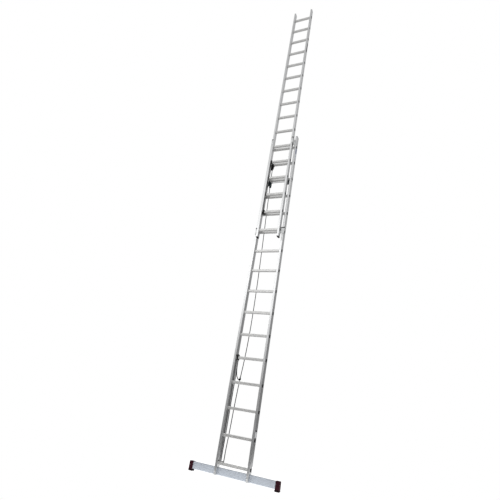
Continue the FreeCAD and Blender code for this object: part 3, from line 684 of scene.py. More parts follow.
def end_plug(low, high, face_z, outward):
    """Flange with a framed, sunken and ribbed face and a solid spigot, for a stile's open end."""
    back = face_z - outward * END_FLANGE
    z0, z1 = sorted((face_z, back))
    plate = block((low.x, low.y, z0), (high.x, high.y, z1))
    face = [f for f in plate.faces if f.normal.z * outward > 0.9]
    bmesh.ops.inset_region(plate, faces=face, thickness=0.004, depth=0.0)
    bmesh.ops.inset_region(plate, faces=face, thickness=0.001, depth=-END_SUNK)
    corners = [e for e in plate.edges
               if abs(e.verts[0].co.z - e.verts[1].co.z) > END_FLANGE * 0.9]
    round_edges(plate, corners, 0.0022, 3)
    root = low.z if outward > 0 else high.z
    s0, s1 = sorted((back, root))
    r0, r1 = sorted((face_z, face_z - outward * END_SUNK))
    ribs = [block((low.x + END_RIB_END, y - END_RIB_HALF, r0),
                  (high.x - END_RIB_END, y + END_RIB_HALF, r1))
            for y in [low.y + (high.y - low.y) * part for part in (0.3, 0.5, 0.7)]]
    spigot = block((low.x + STILE_WALL, low.y + STILE_WALL, s0),
                   (high.x - STILE_WALL, high.y - STILE_WALL, s1))
    return joined(plate, spigot, *ribs)


class LADDER_OT_stile_ends(PieceOperator):
    """Caps and plugs at the ends of the four stiles."""
    bl_idname = "ladder.stile_ends"
    bl_label = "Stile ends"

    def execute(self, context):
        caps = [stile_cap(low, high, BASE_HIGH.z) for low, high in solid_boxes("base_top_caps")]
        show("base_caps", joined(*caps), "cap", "root", "base_top_caps")
        feet = [end_plug(low, high, low.z, -1) for low, high in solid_boxes("base_bottom_plugs")]
        show("base_foot_plugs", joined(*feet), "cap", "root", "base_bottom_plugs")
        ends = solid_boxes("fly_end_plugs")
        feet = [end_plug(low, high, low.z, -1) for low, high in ends[:2]]
        show("fly_foot_plugs", joined(*feet), "black", "fly", "fly_end_plugs")
        tops = [end_plug(low, high, high.z, 1) for low, high in ends[2:]]
        show("fly_top_plugs", joined(*tops), "cap", "fly", "fly_end_plugs")
        return {"FINISHED"}


# Stabiliser bar

BAR_CORNER = 0.003
BAR_WALL = 0.0025
# Lines along the bar, as (share of its height, depth)
BAR_LINES = ((0.18, 0.0006), (0.5, 0.0004), (0.82, 0.0006))
BOOT_BULGE = 0.004
SOLE_HEIGHT = 0.018
SOLE_BANDS = 7
SOLE_GAP = 0.0022
SOLE_EDGE = 0.002


def bar_outline(low, high):
    """Upright rectangle with round corners and shallow lines drawn along its front and back."""
    radius = BAR_CORNER
    outline = []
    for y, sign in ((high.y, 1), (low.y, -1)):
        inward = y - sign * radius
        first, last = (low.z, high.z) if sign > 0 else (high.z, low.z)
        for a in (0, 30, 60, 90):
            angle = math.radians(a)
            outline.append((inward + sign * radius * math.sin(angle),
                            first + sign * (radius - radius * math.cos(angle))))
        for share, depth in BAR_LINES:
            z = first + (last - first) * share
            step = sign * depth
            outline += [(y, z - step), (y - step, z), (y, z + step)]
        for a in (0, 30, 60, 90):
            angle = math.radians(a)
            outline.append((inward + sign * radius * math.cos(angle),
                            last - sign * (radius - radius * math.sin(angle))))
    return outline


def boot_sleeve(low, high, sole_top, outward):
    """Solid boot round the bar's end, with a rolled mouth and grip ribs."""
    bulge = BOOT_BULGE
    inner_x = low.x + bulge if outward > 0 else high.x - bulge
    outer_x = high.x if outward > 0 else low.x
    x0, x1 = sorted((inner_x, outer_x))
    body = block((x0, low.y + bulge, sole_top - 0.004), (x1, high.y - bulge, high.z), 0.003, 3)
    mouth0, mouth1 = sorted((inner_x, inner_x + outward * 0.005))
    mouth = block((mouth0, low.y + bulge - 0.0012, sole_top - 0.002),
                  (mouth1, high.y - bulge + 0.0012, high.z), 0.0022, 3)
    ribs = []
    for step in range(5):
        x = inner_x + outward * (0.013 + 0.006 * step)
        ribs.append(block((x - 0.001, low.y + bulge - 0.001, sole_top + 0.008),
                          (x + 0.001, low.y + bulge + 0.002, high.z - 0.010), 0.0009))
        ribs.append(block((x - 0.001, high.y - bulge - 0.002, sole_top + 0.008),
                          (x + 0.001, high.y - bulge + 0.001, high.z - 0.010), 0.0009))
    return joined(body, mouth, *ribs)


def boot_sole(low, high, sole_top):
    """Wide sole with rounded sides and grooves across its tread."""
    pitch = (high.x - low.x - 2 * SOLE_EDGE) / SOLE_BANDS
    shapes = [block((low.x, low.y, low.z + 0.003), (high.x, high.y, sole_top), 0.0055, 4)]
    for band in range(SOLE_BANDS):
        x = low.x + SOLE_EDGE + band * pitch
        shapes.append(block((x + SOLE_GAP / 2, low.y + 0.003, low.z),
                            (x + pitch - SOLE_GAP / 2, high.y - 0.003, low.z + 0.008), 0.0008))
    return joined(*shapes)


class LADDER_OT_stabiliser(PieceOperator):
    """Stabiliser bar with its rubber boots."""
    bl_idname = "ladder.stabiliser"
    bl_label = "Stabiliser bar"

    def execute(self, context):
        low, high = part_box("stabiliser_bar")
        inner = rounded_rectangle((low.y + high.y) / 2, (low.z + high.z) / 2,
                                  (high.y - low.y) / 2 - BAR_WALL,
                                  (high.z - low.z) / 2 - BAR_WALL, 0.002)
        shape = tube_along_x(bar_outline(low, high), inner, low.x, high.x)
        show("stabiliser_tube", shape, "bar", "root", "stabiliser_bar")
        for side, outward in (("left", -1), ("right", 1)):
            node = f"bar_foot_{side}"
            foot_low, foot_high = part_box(node)
            sole_top = foot_low.z + SOLE_HEIGHT
            sleeve = boot_sleeve(foot_low, foot_high, sole_top, outward)
            show(f"boot_{side}", sleeve, "maroon", "root", node)
            show(f"sole_{side}", boot_sole(foot_low, foot_high, sole_top), "sole", "root", node)
        return {"FINISHED"}


# Guides and bolts

GUIDE_SHEET = 0.003
TOP_GUIDE_LIP = 0.020
TOP_GUIDE_REACH = 0.0595
LOW_GUIDE_TAB = 0.012
EDGE_STRIP_HEIGHT = 0.014


def sheet_run(x0, x1, y0, y1, z):
    """Black strip that stands on a guide's upper edge over one run of its sheet."""
    x0, x1 = sorted((x0, x1))
    return block((x0, y0, z), (x1, y1, z + EDGE_STRIP_HEIGHT), 0.0008)


def top_guide_edge_strip(low, high):
    """Black strip standing on a top guide's upper edge, over its lip and over its side, which
    makes a dark line along the guide's top.
    """
    outward = 1 if low.x > 0 else -1
    inner = low.x if outward > 0 else high.x
    side = inner + outward * TOP_GUIDE_LIP
    edge = side + outward * GUIDE_SHEET
    return joined(sheet_run(inner, edge, low.y, low.y + GUIDE_SHEET, high.z),
                  sheet_run(side, edge, low.y, low.y + TOP_GUIDE_REACH, high.z))


def low_guide_liner(low, high):
    """Liner over a low guide's front and over its return, where the base stile slides."""
    outward = 1 if low.x > 0 else -1
    inner, outer = (low.x, high.x) if outward > 0 else (high.x, low.x)
    front = low.y + LOW_GUIDE_TAB
    return joined(sheet_run(inner, outer, front, front + GUIDE_SHEET, high.z),
                  sheet_run(outer - outward * GUIDE_SHEET, outer, front, high.y, high.z))


class LADDER_OT_guides(PieceOperator):
    """Pressed guides that keep the two sections together, and the black strips on their upper
    edges.
    """
    bl_idname = "ladder.guides"
    bl_label = "Guides"

    def execute(self, context):
        edge = sizes().edge_round
        show("top_guide_brackets", softened("top_guides", edge), "bracket", "root", "top_guides")
        show("low_guide_brackets", softened("low_guides", edge), "bracket", "fly", "low_guides")
        # The black strips on the top guides' upper edges make the dark line along the top of each
        # guide.
        edge_strips = [top_guide_edge_strip(low, high) for low, high in solid_boxes("top_guides")]
        show("top_guide_edge_strips", joined(*edge_strips), "black", "root")
        edge_strips = [low_guide_liner(low, high) for low, high in solid_boxes("low_guides")]
        show("low_guide_liners", joined(*edge_strips), "black", "fly")
        return {"FINISHED"}


def button_head(axis, seat, outward, radius, height):
    """Domed head with a round socket, on a washer."""
    unit = AXIS_TURN[axis] @ Vector((0, 0, 1)) * outward
    washer = rod(axis, seat, seat + unit * height * 0.25, radius * 1.02, 32, 0.0002)
    profile = [(0.0, radius * 0.92), (height * 0.35, radius * 0.9), (height * 0.7, radius * 0.72),
               (height, radius * 0.42), (height, radius * 0.30), (height * 0.45, radius * 0.30),
               (height * 0.45, 0.0), (0.0, 0.0)]
    dome = turned([(outward * along, r) for along, r in profile], axis, seat, 24)
    return joined(washer, dome)


def hex_nut(axis, seat, outward, radius, height, shank):
    """Six-sided nut with chamfered corners, on a washer, with the bolt's end standing out."""
    unit = AXIS_TURN[axis] @ Vector((0, 0, 1)) * outward
    washer = rod(axis, seat, seat + unit * height * 0.25, radius, 32, 0.0002)
    nut = rod(axis, seat + unit * height * 0.25, seat + unit * height * 0.9, radius * 0.92, 6,
              0.0003)
    tip = rod(axis, seat, seat + unit * height, shank, 20, 0.0004)
    return joined(washer, nut, tip)


def bolt_set(low, high):
    """A bolt that fills the box of its CAD solid: head outside or in front, nut at the end."""
    size = high - low
    centre = (low + high) / 2
    if size.y > size.x:
        head_r, shank = size.x / 2, 0.004
        front = Vector((centre.x, low.y + 0.005, centre.z))
        back = Vector((centre.x, high.y - 0.004, centre.z))
        return joined(button_head("Y", front, -1, head_r, 0.005),
                      hex_nut("Y", back, 1, head_r - 0.001, 0.004, shank),
                      rod("Y", front, back, shank, 20))
    outward = 1 if centre.x > 0 else -1
    head_r, shank, thick = size.z / 2, 0.003, 0.003
    far, near = (high.x, low.x) if outward > 0 else (low.x, high.x)
    seat = Vector((far - outward * thick, centre.y, centre.z))
    inner = Vector((near + outward * thick, centre.y, centre.z))
    return joined(button_head("X", seat, outward, head_r, thick),
                  hex_nut("X", inner, -outward, head_r - 0.0005, thick, shank),
                  rod("X", inner, seat, shank, 16))


class LADDER_OT_bolts(PieceOperator):
    """Bolts, washers and nuts of the bar and the guides."""
    bl_idname = "ladder.bolts"
    bl_label = "Bolts"

    def execute(self, context):
        for section, body in (("base", "root"), ("fly", "fly")):
            node = f"{section}_bolts"
            bolts = [bolt_set(low, high) for low, high in solid_boxes(node)]
            show(f"{section}_bolt_sets", joined(*bolts), "zinc", body, node)
        return {"FINISHED"}


# Rung lock

def coil_spring(centre, radius, wire, x0, x1, turns):
    """Torsion spring round the shaft, from a spun ring with a pitch."""
    bm = bmesh.new()
    ring = bmesh.ops.create_circle(bm, cap_ends=False, segments=10, radius=wire / 2)["verts"]
    bmesh.ops.rotate(bm, cent=(0, 0, 0), matrix=Matrix.Rotation(math.pi / 2, 3, "X"), verts=ring)
    bmesh.ops.translate(bm, vec=(radius, 0, 0), verts=ring)
    steps = 20 * turns
    bmesh.ops.spin(bm, geom=list(bm.verts) + list(bm.edges), cent=(0, 0, 0), axis=(0, 0, 1),
                   dvec=(0, 0, (x1 - x0) / steps), angle=2 * math.pi * turns, steps=steps,
                   use_merge=False, use_duplicate=False)
    ends = [e for e in bm.edges if e.is_boundary]
    bmesh.ops.holes_fill(bm, edges=ends, sides=12)
    bmesh.ops.rotate(bm, cent=(0, 0, 0), matrix=AXIS_TURN["X"], verts=bm.verts)
    bmesh.ops.translate(bm, vec=(x0, centre.y, centre.z), verts=bm.verts)
    return bm


class LADDER_OT_lock(PieceOperator):
    """Rung lock: housings, cross shaft, pawls and their springs."""
    bl_idname = "ladder.lock"
    bl_label = "Rung lock"

    def execute(self, context):
        housings = softened("lock_housings", 0.0012, 3)
        ribs = []
        for low, high in solid_boxes("lock_housings"):
            for step in range(3):
                z = low.z + 0.010 + 0.008 * step
                ribs.append(block((low.x + 0.004, low.y - 0.0012, z - 0.0012),
                                  (high.x - 0.004, low.y + 0.002, z + 0.0012), 0.0008))
        show("lock_cases", joined(housings, *ribs), "lock", "root", "lock_housings")
        show("lock_arms", softened("lock_pawls", 0.0010, 3), "lock", "lock", "lock_pawls")
        show("lock_cross_rod", softened("lock_shaft", 0.0006), "zinc", "lock", "lock_shaft")
        low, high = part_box("lock_shaft")
        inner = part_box("lock_pawls")[1].x - 0.025
        springs = [coil_spring((low + high) / 2, 0.0068, 0.0016, start, start + 0.018, 8)
                   for start in (inner - 0.018, -inner)]
        show("lock_springs", joined(*springs), "zinc", "lock")
        return {"FINISHED"}


# Pulley

SHEAVE_BORE = 0.00505
SHEAVE_HUB = 0.010
SHEAVE_WEB = 0.0035
GROOVE_RADIUS = 0.0056


class LADDER_OT_pulley(PieceOperator):
    """Pulley block, its axle and the grooved sheave."""
    bl_idname = "ladder.pulley"
    bl_label = "Pulley"

    def execute(self, context):
        block_shape = softened("pulley_block", 0.0012, 3)
        low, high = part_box("pulley_block")
        ribs = []
        for x, outward in ((low.x + 0.004, -1), (high.x - 0.004, 1)):
            for step in (-1, 0, 1):
                y = SHEAVE_CENTRE.y + step * 0.009
                x0, x1 = sorted((x - outward * 0.001, x + outward * 0.0018))
                ribs.append(block((x0, y - 0.0014, SHEAVE_CENTRE.z + 0.018),
                                  (x1, y + 0.0014, SHEAVE_CENTRE.z + 0.034), 0.0007))
        show("pulley_bracket", joined(block_shape, *ribs), "black", "root", "pulley_block")
        show("pulley_pin", softened("pulley_axle", 0.0008), "zinc", "root", "pulley_axle")
        show("pulley_wheel", sheave_wheel(), "black", "sheave", "pulley_sheave")
        return {"FINISHED"}


def sheave_wheel():
    """Grooved wheel: round rope groove, rims with soft edges, hub and eight webs in the dishes."""
    half = (SHEAVE_HIGH.x - SHEAVE_LOW.x) / 2
    rim = (SHEAVE_HIGH.z - SHEAVE_LOW.z) / 2
    groove_line = rim - 0.003
    side = [(-half, SHEAVE_BORE), (-half, SHEAVE_HUB), (-SHEAVE_WEB, SHEAVE_HUB + 0.0005),
            (-SHEAVE_WEB, rim - 0.009), (-half, rim - 0.008), (-half, rim - 0.001),
            (-half + 0.001, rim), (-GROOVE_RADIUS - 0.0012, rim)]
    groove = [(GROOVE_RADIUS * math.sin(a), groove_line - GROOVE_RADIUS * math.cos(a))
              for a in map(math.radians, range(-80, 81, 20))]
    profile = side + groove + [(-along, r) for along, r in reversed(side)]
    wheel = turned(profile, "X", SHEAVE_CENTRE, 64)
    webs = []
    for number in range(8):
        angle = number * math.pi / 4
        arm = block((-half + 0.001, -0.0012, 0.0095), (half - 0.001, 0.0012, rim - 0.008),
                    0.0004)
        bmesh.ops.rotate(arm, cent=(0, 0, 0), matrix=Matrix.Rotation(angle, 3, "X"),
                         verts=arm.verts)
        bmesh.ops.translate(arm, vec=SHEAVE_CENTRE, verts=arm.verts)
        webs.append(arm)
    return joined(wheel, *webs)


# Rope. Routes are control points in metres

ROPE_X = SHEAVE_CENTRE.x
HAUL_Y = SHEAVE_CENTRE.y + 0.028
KNOT_UNDER = 1.227
OVER_SHEAVE = (
    (ROPE_X, -0.001, 3.998), (ROPE_X, -0.001, 4.0096), (ROPE_X, 0.0154, 4.026),
    (ROPE_X, 0.0386, 4.026), (ROPE_X, HAUL_Y, 4.0096),
)
HAUL_ROUTE = (
    (ROPE_X, HAUL_Y, 3.868), (-0.126, HAUL_Y, 3.493), (-0.107, HAUL_Y, 3.003),
    (-0.090, HAUL_Y, 2.533), (-0.077, HAUL_Y, 2.083), (-0.073, HAUL_Y, 1.583),
    (-0.086, HAUL_Y, 1.223), (-0.107, HAUL_Y, 0.963), (-0.118, HAUL_Y, 0.693),
    (-0.124, HAUL_Y, 0.433), (-0.1327, HAUL_Y, 0.263),
)
ROUND_ANCHOR = (
    (-0.1327, HAUL_Y, 0.1278), (-0.1428, HAUL_Y, 0.1177), (-0.1572, HAUL_Y, 0.1177),
    (-0.1673, HAUL_Y, 0.1278),
)
RETURN_ROUTE = (
    (-0.1673, HAUL_Y, 0.260), (-0.164, HAUL_Y, 0.480), (-0.166, HAUL_Y, 0.720),
    (-0.165, HAUL_Y, 0.920), (-0.163, HAUL_Y - 0.002, 1.060), (-0.162, HAUL_Y - 0.008, 1.157),
    (-0.162, HAUL_Y - 0.008, KNOT_UNDER),
)
TAIL_ROUTE = (
    (-0.153, 0.027, KNOT_UNDER), (-0.153, 0.027, 1.175), (-0.151, 0.028, 1.122),
    (-0.146, 0.031, 1.070), (-0.136, 0.039, 1.027), (-0.118, 0.049, 1.008),
)


def rope_line(points, step=0.0035):
    """Evenly spaced points along the NURBS spline that has these control points."""
    data = bpy.data.curves.new("route", "CURVE")
    data.dimensions = "3D"
    spline = data.splines.new("NURBS")
    spline.points.add(len(points) - 1)
    for control, point in zip(spline.points, points):
        control.co = (*point, 1)
    spline.order_u = 3
    spline.use_endpoint_u = True
    spline.resolution_u = 24
    carrier = bpy.data.objects.new("route", data)
    mesh = bpy.data.meshes.new_from_object(carrier)
    raw = [v.co.copy() for v in mesh.vertices]
    bpy.data.objects.remove(carrier)
    bpy.data.meshes.remove(mesh)
    bpy.data.curves.remove(data)
    reach = [0.0]
    for a, b in zip(raw, raw[1:]):
        reach.append(reach[-1] + (b - a).length)
    count = max(2, math.ceil(reach[-1] / step))
    line = []
    at = 0
    for number in range(count + 1):
        along = reach[-1] * number / count
        while at < len(raw) - 2 and reach[at + 1] < along:
            at += 1
        span = max(reach[at + 1] - reach[at], 1e-9)
        line.append(raw[at].lerp(raw[at + 1], min(1.0, (along - reach[at]) / span)))
    return line


# Share of the rope's radius at the bottom of the valleys between its strands
LOBE_FOOT = 0.84


def twisted_tube(line, diameter, lay, sides=15):
    """Three-strand rope round a line: a three-lobed section that turns once in each lay.

    The rings and their faces are made here because no operator sweeps a section that twists.
    """
    bm = bmesh.new()
    uv = bm.loops.layers.uv.new("UVMap")
    radius = diameter / 2
    tangent = (line[1] - line[0]).normalized()
    side = tangent.orthogonal().normalized()
    rings = []
    along = 0.0
    for index, point in enumerate(line):
        ahead = (line[min(index + 1, len(line) - 1)] - line[max(index - 1, 0)]).normalized()
        side = (side - ahead * side.dot(ahead)).normalized()
        across = ahead.cross(side)
        if index:
            along += (point - line[index - 1]).length
        twist = 2 * math.pi * along / lay
        ring = []
        for number in range(sides):
            angle = 2 * math.pi * number / sides
            lobe = abs(math.cos(1.5 * angle))
            reach = radius * (LOBE_FOOT + (1 - LOBE_FOOT) * lobe ** 0.7)
            turn = angle + twist
            spoke = side * math.cos(turn) + across * math.sin(turn)
            ring.append(bm.verts.new(point + spoke * reach))
        rings.append((ring, along))
    for (ring_a, a), (ring_b, b) in zip(rings, rings[1:]):
        for number in range(sides):
            other = (number + 1) % sides
            face = bm.faces.new((ring_a[number], ring_a[other], ring_b[other], ring_b[number]))
            corners = ((a, number), (a, number + 1), (b, number + 1), (b, number))
            for loop, (reached, step) in zip(face.loops, corners):
                loop[uv].uv = (reached, step / sides)
    for ring, _ in (rings[0], rings[-1]):
        bm.faces.new(ring)
    return bm


def rope_piece(name, points, body, *nodes):
    """A stretch of rope along a route. Returns the piece and its line."""
    size = sizes()
    line = rope_line(points)
    piece = show(name, twisted_tube(line, size.rope_diameter, size.rope_lay), "rope", body, *nodes,
                 angle=75)
    return piece, line


# Distances of the wound rope's control points from the middle of a rung
KNOT_GRIP = 0.0206
KNOT_CORNER = 0.017


def beside(centre, *places):
    """Control points from (x, y and z away from a rung's middle)."""
    return [Vector((x, centre.y + y, centre.z + z)) for x, y, z in places]


def knot_turns(centre, first_x, last_x, turns):
    """Control points of rope wound round a square rung, from one x to another."""
    grip, corner = KNOT_GRIP, KNOT_CORNER
    places = []
    square = ((grip, -corner), (grip, corner), (corner, grip), (-corner, grip),
              (-grip, corner), (-grip, -corner), (-corner, -grip), (corner, -grip))
    count = int(turns * len(square))
    for number in range(count + 1):
        x = first_x + (last_x - first_x) * number / count
        places.append((x, *square[number % len(square)]))
    return beside(centre, *places)


class LADDER_OT_rope(PieceOperator):
    """The lifting rope: its taut strand, its long loop, its loose end and its knots."""
    bl_idname = "ladder.rope"
    bl_label = "Rope"

    def execute(self, context):
        diameter = sizes().rope_diameter
        top = Vector(OVER_SHEAVE[0])
        route = [*OVER_SHEAVE, *HAUL_ROUTE, *ROUND_ANCHOR, *RETURN_ROUTE]
        base_knot, tail_hitch, fly_end = self.base_knot(), self.tail_hitch(), self.fly_knots()
        haul, line = rope_piece("rope_loop", route, "root", "rope_haul")
        tail, line = rope_piece("rope_end", TAIL_ROUTE, "root", "rope_tail")
        low = Vector((ROPE_X, top.y, STRAND_LOW.z))
        taut = [low.lerp(top, share) for share in (0.0, 0.07, 0.93, 1.0)]
        line = rope_line(taut)
        shape = twisted_tube(line, diameter, sizes().rope_lay)
        strand = show("rope_strand", shape, "rope", "root", "rope_fly_strand", angle=75)
        strand.parent = None
        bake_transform(strand)
        show("rope_hook", softened("rope_anchor", 0.0012, 3), "black", "root", "rope_anchor")
        return {"FINISHED"}

    def base_knot(self):
        """Round turns on the fifth base rung, crossed over behind it, with a short loop on top."""
        low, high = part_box("base_rung_05")
        centre = (low + high) / 2
        start = Vector((-0.162, HAUL_Y - 0.008, KNOT_UNDER))
        turns = knot_turns(centre, -0.1685, -0.153, 2.0)
        rise = beside(centre, (-0.1535, 0.031, 0.008), (-0.160, 0.030, 0.030),
                      (-0.168, 0.016, 0.040), (-0.163, -0.002, 0.033), (-0.155, -0.006, 0.031),
                      (-0.152, 0.012, 0.0315), (-0.157, 0.031, 0.012), (-0.163, 0.031, -0.010),
                      (-0.157, 0.020, -0.031), (-0.153, 0.0, -0.030))
        return rope_piece("base_knot", [start, *turns, *rise], "root", "base_knots")[0]

    def tail_hitch(self):
        """The loose end's one and a half turns round the hauling strand."""
        line_x, foot = -0.1033, 1.0
        points = [Vector(TAIL_ROUTE[-1])]
        reach = 0.0104
        for number in range(13):
            angle = math.pi + number * math.pi / 4
            points.append(Vector((line_x + reach * math.cos(angle),
                                  HAUL_Y + reach * math.sin(angle),
                                  foot + 0.006 + 0.0014 * number)))
        points.append(points[-1] + Vector((-0.006, -0.004, 0.006)))
        points.append(points[-1] + Vector((-0.006, -0.004, 0.012)))
        return rope_piece("tail_hitch", points, "root", "base_knots")[0]

    def fly_knots(self):
        """The hitch that lifts the fly section, and its spare end tied off three rungs higher."""
        low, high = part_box("fly_rung_02")
        centre = (low + high) / 2
        lead = Vector((ROPE_X, STRAND_LOW.y + (STRAND_HIGH.y - STRAND_LOW.y) / 2, STRAND_LOW.z))
        into = [lead, lead + Vector((0.001, -0.002, -0.012)),
                *beside(centre, (-0.134, 0.030, 0.012), (-0.128, 0.0206, 0.005))]
        turns = knot_turns(centre, -0.1275, -0.105, 2.375)
        cross = beside(centre, (-0.103, -0.0285, 0.010), (-0.114, -0.0290, -0.004),
                       (-0.126, -0.0285, -0.020), (-0.131, -0.016, -0.031),
                       (-0.126, 0.004, -0.031), (-0.116, 0.022, -0.031),
                       (-0.108, 0.033, -0.015), (-0.108, 0.0315, 0.010),
                       (-0.114, 0.014, 0.031), (-0.123, -0.008, 0.032),
                       (-0.1265, -0.0203, 0.045))
        upper_low, upper_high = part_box("fly_rung_05")
        upper = (upper_low + upper_high) / 2
        spare_y = centre.y - 0.0203
        spare = [Vector((-0.1265, spare_y, centre.z + 0.12)),
                 Vector((-0.1265, spare_y, upper.z - 0.12)),
                 Vector((-0.1265, spare_y, upper.z - 0.030))]
        loops = knot_turns(upper, -0.1265, -0.1165, 1.75)
        loops = [Vector((p.x, 2 * upper.y - p.y, p.z)) for p in loops]
        tip = beside(upper, (-0.114, 0.020, -0.045), (-0.113, 0.020, -0.075))
        route = [*into, *turns, *cross, *spare, *loops, *tip]
        return rope_piece("fly_rope_end", route, "fly", "fly_knots")[0]


# Labels

LABEL_MARGIN = 0.015
# Name, finish, slot, and the heights of the foot and the head
BASE_LABELS = (
    ("label_upper_field", "label_pale", "grey_plastic", 4.130, 4.210),
    ("label_upper_band", "label_blue", "grey_plastic", 4.215, 4.305),
    ("label_lower_field", "label_white", "grey_plastic", 0.440, 0.496),
    ("label_lower_band", "label_dark", "black_plastic", 0.500, 0.515),
)
FLY_LABELS = (("label_fly_field", "label_dark", "black_plastic", 6.270, 6.470),)


def label(x, y0, y1, z0, z1, thickness):
    """Thin blank plate with round corners, standing on the outer face of the right stile."""
    plate = block((x, y0, z0), (x + thickness, y1, z1))
    corners = [e for e in plate.edges if abs(e.verts[0].co.x - e.verts[1].co.x) > thickness * 0.9]
    round_edges(plate, corners, 0.004, 4)
    return plate


class LADDER_OT_labels(PieceOperator):
    """Blank vinyl labels on the stiles, with plain fields and no lettering."""
    bl_idname = "ladder.labels"
    bl_label = "Blank labels"

    def execute(self, context):
        thick = sizes().label_thickness
        for low, high, body, rows in ((BASE_LOW, BASE_HIGH, "root", BASE_LABELS),
                                      (FLY_LOW, FLY_HIGH, "fly", FLY_LABELS)):
            y0, y1 = low.y + LABEL_MARGIN, high.y - LABEL_MARGIN
            for name, finish, slot, foot, head in rows:
                show(name, label(high.x, y0, y1, foot, head, thick), finish, body, slot=slot)
        return {"FINISHED"}


# Studio

FLOOR_BACK = 0.75
CAMERA_SHIFT = 0.0012
SENSOR_WIDTH = 36.0


def soft_box(name, place, target, width, height, power):
    """Rectangular soft light that faces a target."""
    data = bpy.data.lights.new(name, "AREA")
    data.shape = "RECTANGLE"
    data.size = width
    data.size_y = height
    data.energy = power
    lamp = bpy.data.objects.new(name, data)
    lamp.location = place
    lamp.rotation_euler = (Vector(target) - Vector(place)).to_track_quat("-Z", "Y").to_euler()
    bpy.context.scene.collection.objects.link(lamp)


def elevation_ramp(nodes, links, height, stops):
    """Grey levels by the height of a direction, from (height, level) pairs."""
    node = nodes.new("ShaderNodeValToRGB")
    ramp = node.color_ramp
    for index, (position, level) in enumerate(stops):
        if index < 2:
            stop = ramp.elements[index]
            stop.position = position
        else:
            stop = ramp.elements.new(position)
        stop.color = (level, level, level, 1)
    links.new(height, node.inputs["Fac"])
    return node.outputs["Color"]


def pale_surroundings():
    """White behind the object. What it reflects is brightest in front, a third of the way up."""
    world = bpy.data.worlds.new("studio")
    world.use_nodes = True
    bpy.context.scene.world = world
    nodes, links = world.node_tree.nodes, world.node_tree.links
    background = nodes["Background"]
    direction = nodes.new("ShaderNodeTexCoord")
    split = nodes.new("ShaderNodeSeparateXYZ")
    links.new(direction.outputs["Generated"], split.inputs[0])
    height = nodes.new("ShaderNodeMapRange")
    height.inputs["From Min"].default_value = -1.0
    links.new(split.outputs["Z"], height.inputs["Value"])
    front = elevation_ramp(nodes, links, height.outputs["Result"],
                           ((0.0, 0.60), (1.0, 0.50), (0.28, 0.48), (0.42, 0.14), (0.51, 0.10),
                            (0.565, 0.45), (0.63, 0.92), (0.76, 1.05), (0.84, 0.82), (0.90, 0.56)))
    back = elevation_ramp(nodes, links, height.outputs["Result"],
                          ((0.0, 0.60), (1.0, 0.60), (0.28, 0.48), (0.42, 0.22), (0.5, 0.20),
                           (0.65, 0.32), (0.775, 0.58)))
    turn = nodes.new("ShaderNodeMapRange")
    turn.inputs["From Min"].default_value = -0.35
    turn.inputs["From Max"].default_value = 0.35
    links.new(split.outputs["Y"], turn.inputs["Value"])
    around = nodes.new("ShaderNodeMix")
    around.data_type = "RGBA"
    links.new(turn.outputs["Result"], around.inputs["Factor"])
    links.new(front, around.inputs[6])
    links.new(back, around.inputs[7])
    seen = nodes.new("ShaderNodeLightPath")
    choose = nodes.new("ShaderNodeMix")
    choose.data_type = "RGBA"
    links.new(seen.outputs["Is Camera Ray"], choose.inputs["Factor"])
    links.new(around.outputs[2], choose.inputs[6])
    choose.inputs[7].default_value = (1, 1, 1, 1)
    links.new(choose.outputs[2], background.inputs["Color"])


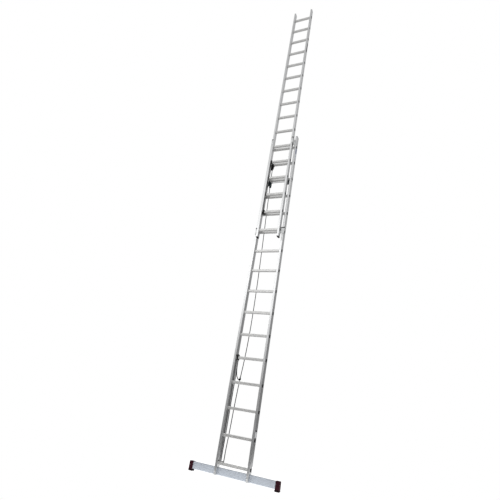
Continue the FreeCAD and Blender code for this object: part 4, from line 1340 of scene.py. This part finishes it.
class LADDER_OT_studio(PieceOperator):
    """Pale floor, soft lights and the camera."""
    bl_idname = "ladder.studio"
    bl_label = "Studio"

    def execute(self, context):
        studio = context.scene.ladder_studio
        context.scene.view_settings.view_transform = "Standard"
        pale_surroundings()
        bm = bmesh.new()
        bmesh.ops.create_circle(bm, cap_ends=True, segments=96, radius=studio.floor_size / 2)
        bmesh.ops.translate(bm, vec=(0, FLOOR_BACK, 0), verts=bm.verts)
        mesh = bpy.data.meshes.new("floor")
        bm.to_mesh(mesh)
        bm.free()
        finish = Finish("pale floor", (0.9, 0.9, 0.9), 1.0, 0.0, 0.0)
        finish.shader.inputs["Emission Color"].default_value = (1, 1, 1, 1)
        finish.shader.inputs["Emission Strength"].default_value = studio.floor_glow
        mesh.materials.append(finish.material)
        floor = bpy.data.objects.new("floor", mesh)
        context.scene.collection.objects.link(floor)
        soft_box("key", (-3.4, -7.4, 5.6), (0, 0, 2.6), 5.0, 3.4, studio.key_power)
        soft_box("fill", (6.5, 2.5, 4.0), (0, 0, 2.5), 3.0, 5.0, studio.fill_power)
        self.place_camera(context, studio)
        return {"FINISHED"}

    def place_camera(self, context, studio):
        data = bpy.data.cameras.new("camera")
        data.sensor_width = SENSOR_WIDTH
        data.lens = studio.camera_lens
        data.shift_x = CAMERA_SHIFT
        camera = bpy.data.objects.new("camera", data)
        forward = Vector(studio.camera_forward).normalized()
        up = Vector(studio.camera_up)
        up = (up - forward * up.dot(forward)).normalized()
        right = forward.cross(up)
        turn = Matrix((right, up, -forward)).transposed().to_4x4()
        camera.matrix_world = Matrix.Translation(Vector(studio.camera_place)) @ turn
        context.scene.collection.objects.link(camera)
        context.scene.camera = camera


class LADDER_PT_build(bpy.types.Panel):
    """Buttons and values of the ladder."""
    bl_idname = "LADDER_PT_build"
    bl_label = "Extension ladder"
    bl_space_type = "VIEW_3D"
    bl_region_type = "UI"
    bl_category = "Ladder"

    def draw(self, context):
        for operator in STEPS:
            self.layout.operator(operator.bl_idname)
        for group in (context.scene.ladder_sizes, context.scene.ladder_colours,
                      context.scene.ladder_studio):
            column = self.layout.column()
            for name in group.__annotations__:
                column.prop(group, name)


STEPS = (
    LADDER_OT_finishes, LADDER_OT_rungs, LADDER_OT_rung_plugs, LADDER_OT_stile_ends,
    LADDER_OT_stabiliser, LADDER_OT_guides, LADDER_OT_bolts, LADDER_OT_lock, LADDER_OT_pulley,
    LADDER_OT_rope, LADDER_OT_labels, LADDER_OT_studio,
)
GROUPS = {"ladder_sizes": LadderSizes, "ladder_colours": LadderColours,
          "ladder_studio": LadderStudio}


def register():
    for group in GROUPS.values():
        bpy.utils.register_class(group)
    for name, group in GROUPS.items():
        setattr(bpy.types.Scene, name, bpy.props.PointerProperty(type=group))
    for operator in STEPS:
        bpy.utils.register_class(operator)
    bpy.utils.register_class(LADDER_PT_build)


def unregister():
    bpy.utils.unregister_class(LADDER_PT_build)
    for operator in reversed(STEPS):
        bpy.utils.unregister_class(operator)
    for name, group in GROUPS.items():
        delattr(bpy.types.Scene, name)
        bpy.utils.unregister_class(group)


def main():
    register()
    for operator in STEPS:
        group, name = operator.bl_idname.split(".")
        getattr(getattr(bpy.ops, group), name)()


if __name__ == "__main__":
    main()
